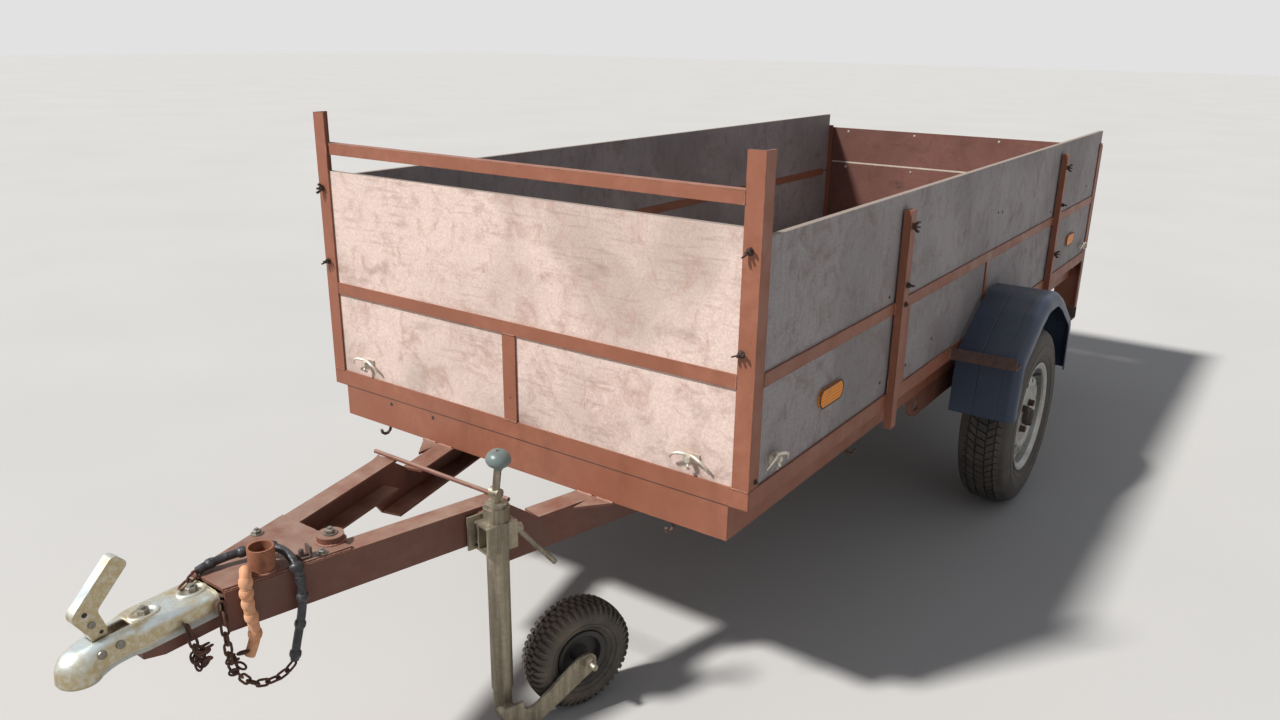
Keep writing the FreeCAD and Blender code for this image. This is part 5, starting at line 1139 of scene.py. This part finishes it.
def tail_details():
    back = (-1, 0, 0)
    edge = Kit("gate_board_edge", PLY_EDGE, "worn_plywood", "tailgate")
    corners = ((-608, 886), (608, 886), (608, 893), (-608, 893))
    edge.slab([bed(-3074.5, y, z) for y, z in corners], back, 0.4)
    edge.done()
    heads = Kit("gate_board_bolts", CLEAT, "zinc_steel", "tailgate")
    for y in (540, 210, -190, -530):
        screw(heads, bed(-3075, y, 1040), (1, 0, 0), 6)
        screw(heads, bed(-3070, y, 868), (1, 0, 0), 6)
    heads.done()
    wings = Kit("tailgate_bolts", BOLT_DARK, "rusty_steel", "tailgate")
    for side in (1, -1):
        for z, turn in ((1010, 0.7), (760, 0.2)):
            wing_bolt(wings, bed(GATE_BACK, 629 * side, z), back, turn)
    wings.done()

    frames = Kit("lamp_frames", BLACK, "guard_plastic")
    amber = Kit("lamp_amber", ORANGE, "orange_lens")
    for side in (1, -1):
        near, far = 549 * side, 606 * side
        for z in (321, 379, 441, 499):
            frames.strip(bed(LAMP_BACK, near, z), bed(LAMP_BACK, far, z), back, 5, 1.8)
        for y in (550 * side, 605 * side):
            frames.strip(bed(LAMP_BACK, y, 319), bed(LAMP_BACK, y, 501), back, 5, 1.8)
        corners = ((near, 443.5), (far, 443.5), (far, 496.5), (near, 496.5))
        amber.slab([bed(LAMP_BACK, y, z) for y, z in corners], back, 0.8)
    frames.done()
    amber.done()


# Studio


def studio():
    """A pale floor and background, a sun from the right and a weak fill from the left."""
    mesh = bpy.data.meshes.new("floor")
    reach = 60.0
    corners = [(-reach, -reach, 0), (reach, -reach, 0), (reach, reach, 0), (-reach, reach, 0)]
    mesh.from_pydata(corners, [], [(0, 1, 2, 3)])
    floor = bpy.data.objects.new("studio_floor", mesh)
    bpy.context.scene.collection.objects.link(floor)
    mesh.materials.append(floor_surface())

    world = bpy.data.worlds.new("Studio")
    world.use_nodes = True
    tree = world.node_tree
    back = tree.nodes["Background"]
    path = tree.nodes.new("ShaderNodeLightPath")
    pale = tree.nodes.new("ShaderNodeMix")
    pale.data_type = "RGBA"
    pale.inputs[6].default_value = (0.59, 0.64, 0.73, 1)
    pale.inputs[7].default_value = (2.0, 2.0, 2.0, 1)
    seen = path.outputs["Is Camera Ray"]
    for other in ("Is Glossy Ray", "Is Transmission Ray"):
        both = tree.nodes.new("ShaderNodeMath")
        both.operation = "MAXIMUM"
        tree.links.new(seen, both.inputs[0])
        tree.links.new(path.outputs[other], both.inputs[1])
        seen = both.outputs[0]
    tree.links.new(seen, pale.inputs[0])
    tree.links.new(pale.outputs[2], back.inputs["Color"])
    back.inputs["Strength"].default_value = 0.38
    bpy.context.scene.world = world

    for name, kind, spot, energy, size in (("KeySun", "SUN", (4.9, -3.1, 7.2), 4.8, 0.1),
                                           ("FillArea", "AREA", (4.5, 6.5, 4.5), 10.0, 5.0)):
        light = bpy.data.lights.new(name, kind)
        light.energy = energy
        if kind == "SUN":
            light.angle = size
        else:
            light.size = size
        lamp = bpy.data.objects.new(name, light)
        lamp.location = spot
        lamp.rotation_euler = (Vector((0, 0, 0.5)) - Vector(spot)).to_track_quat("-Z", "Y").to_euler()
        bpy.context.scene.collection.objects.link(lamp)
    bpy.context.scene.view_settings.view_transform = "Standard"


place_camera()
lay_cords()
dress_nodes()
road_tyre("road_tyre_left", 1, "wheel_left")
road_tyre("road_tyre_right", -1, "wheel_right")
jockey_tyre()
bed_details()
drawbar_details()
coupling_details()
stand_details()
wheel_details(1, "wheel_left")
wheel_details(-1, "wheel_right")
tail_details()
studio()
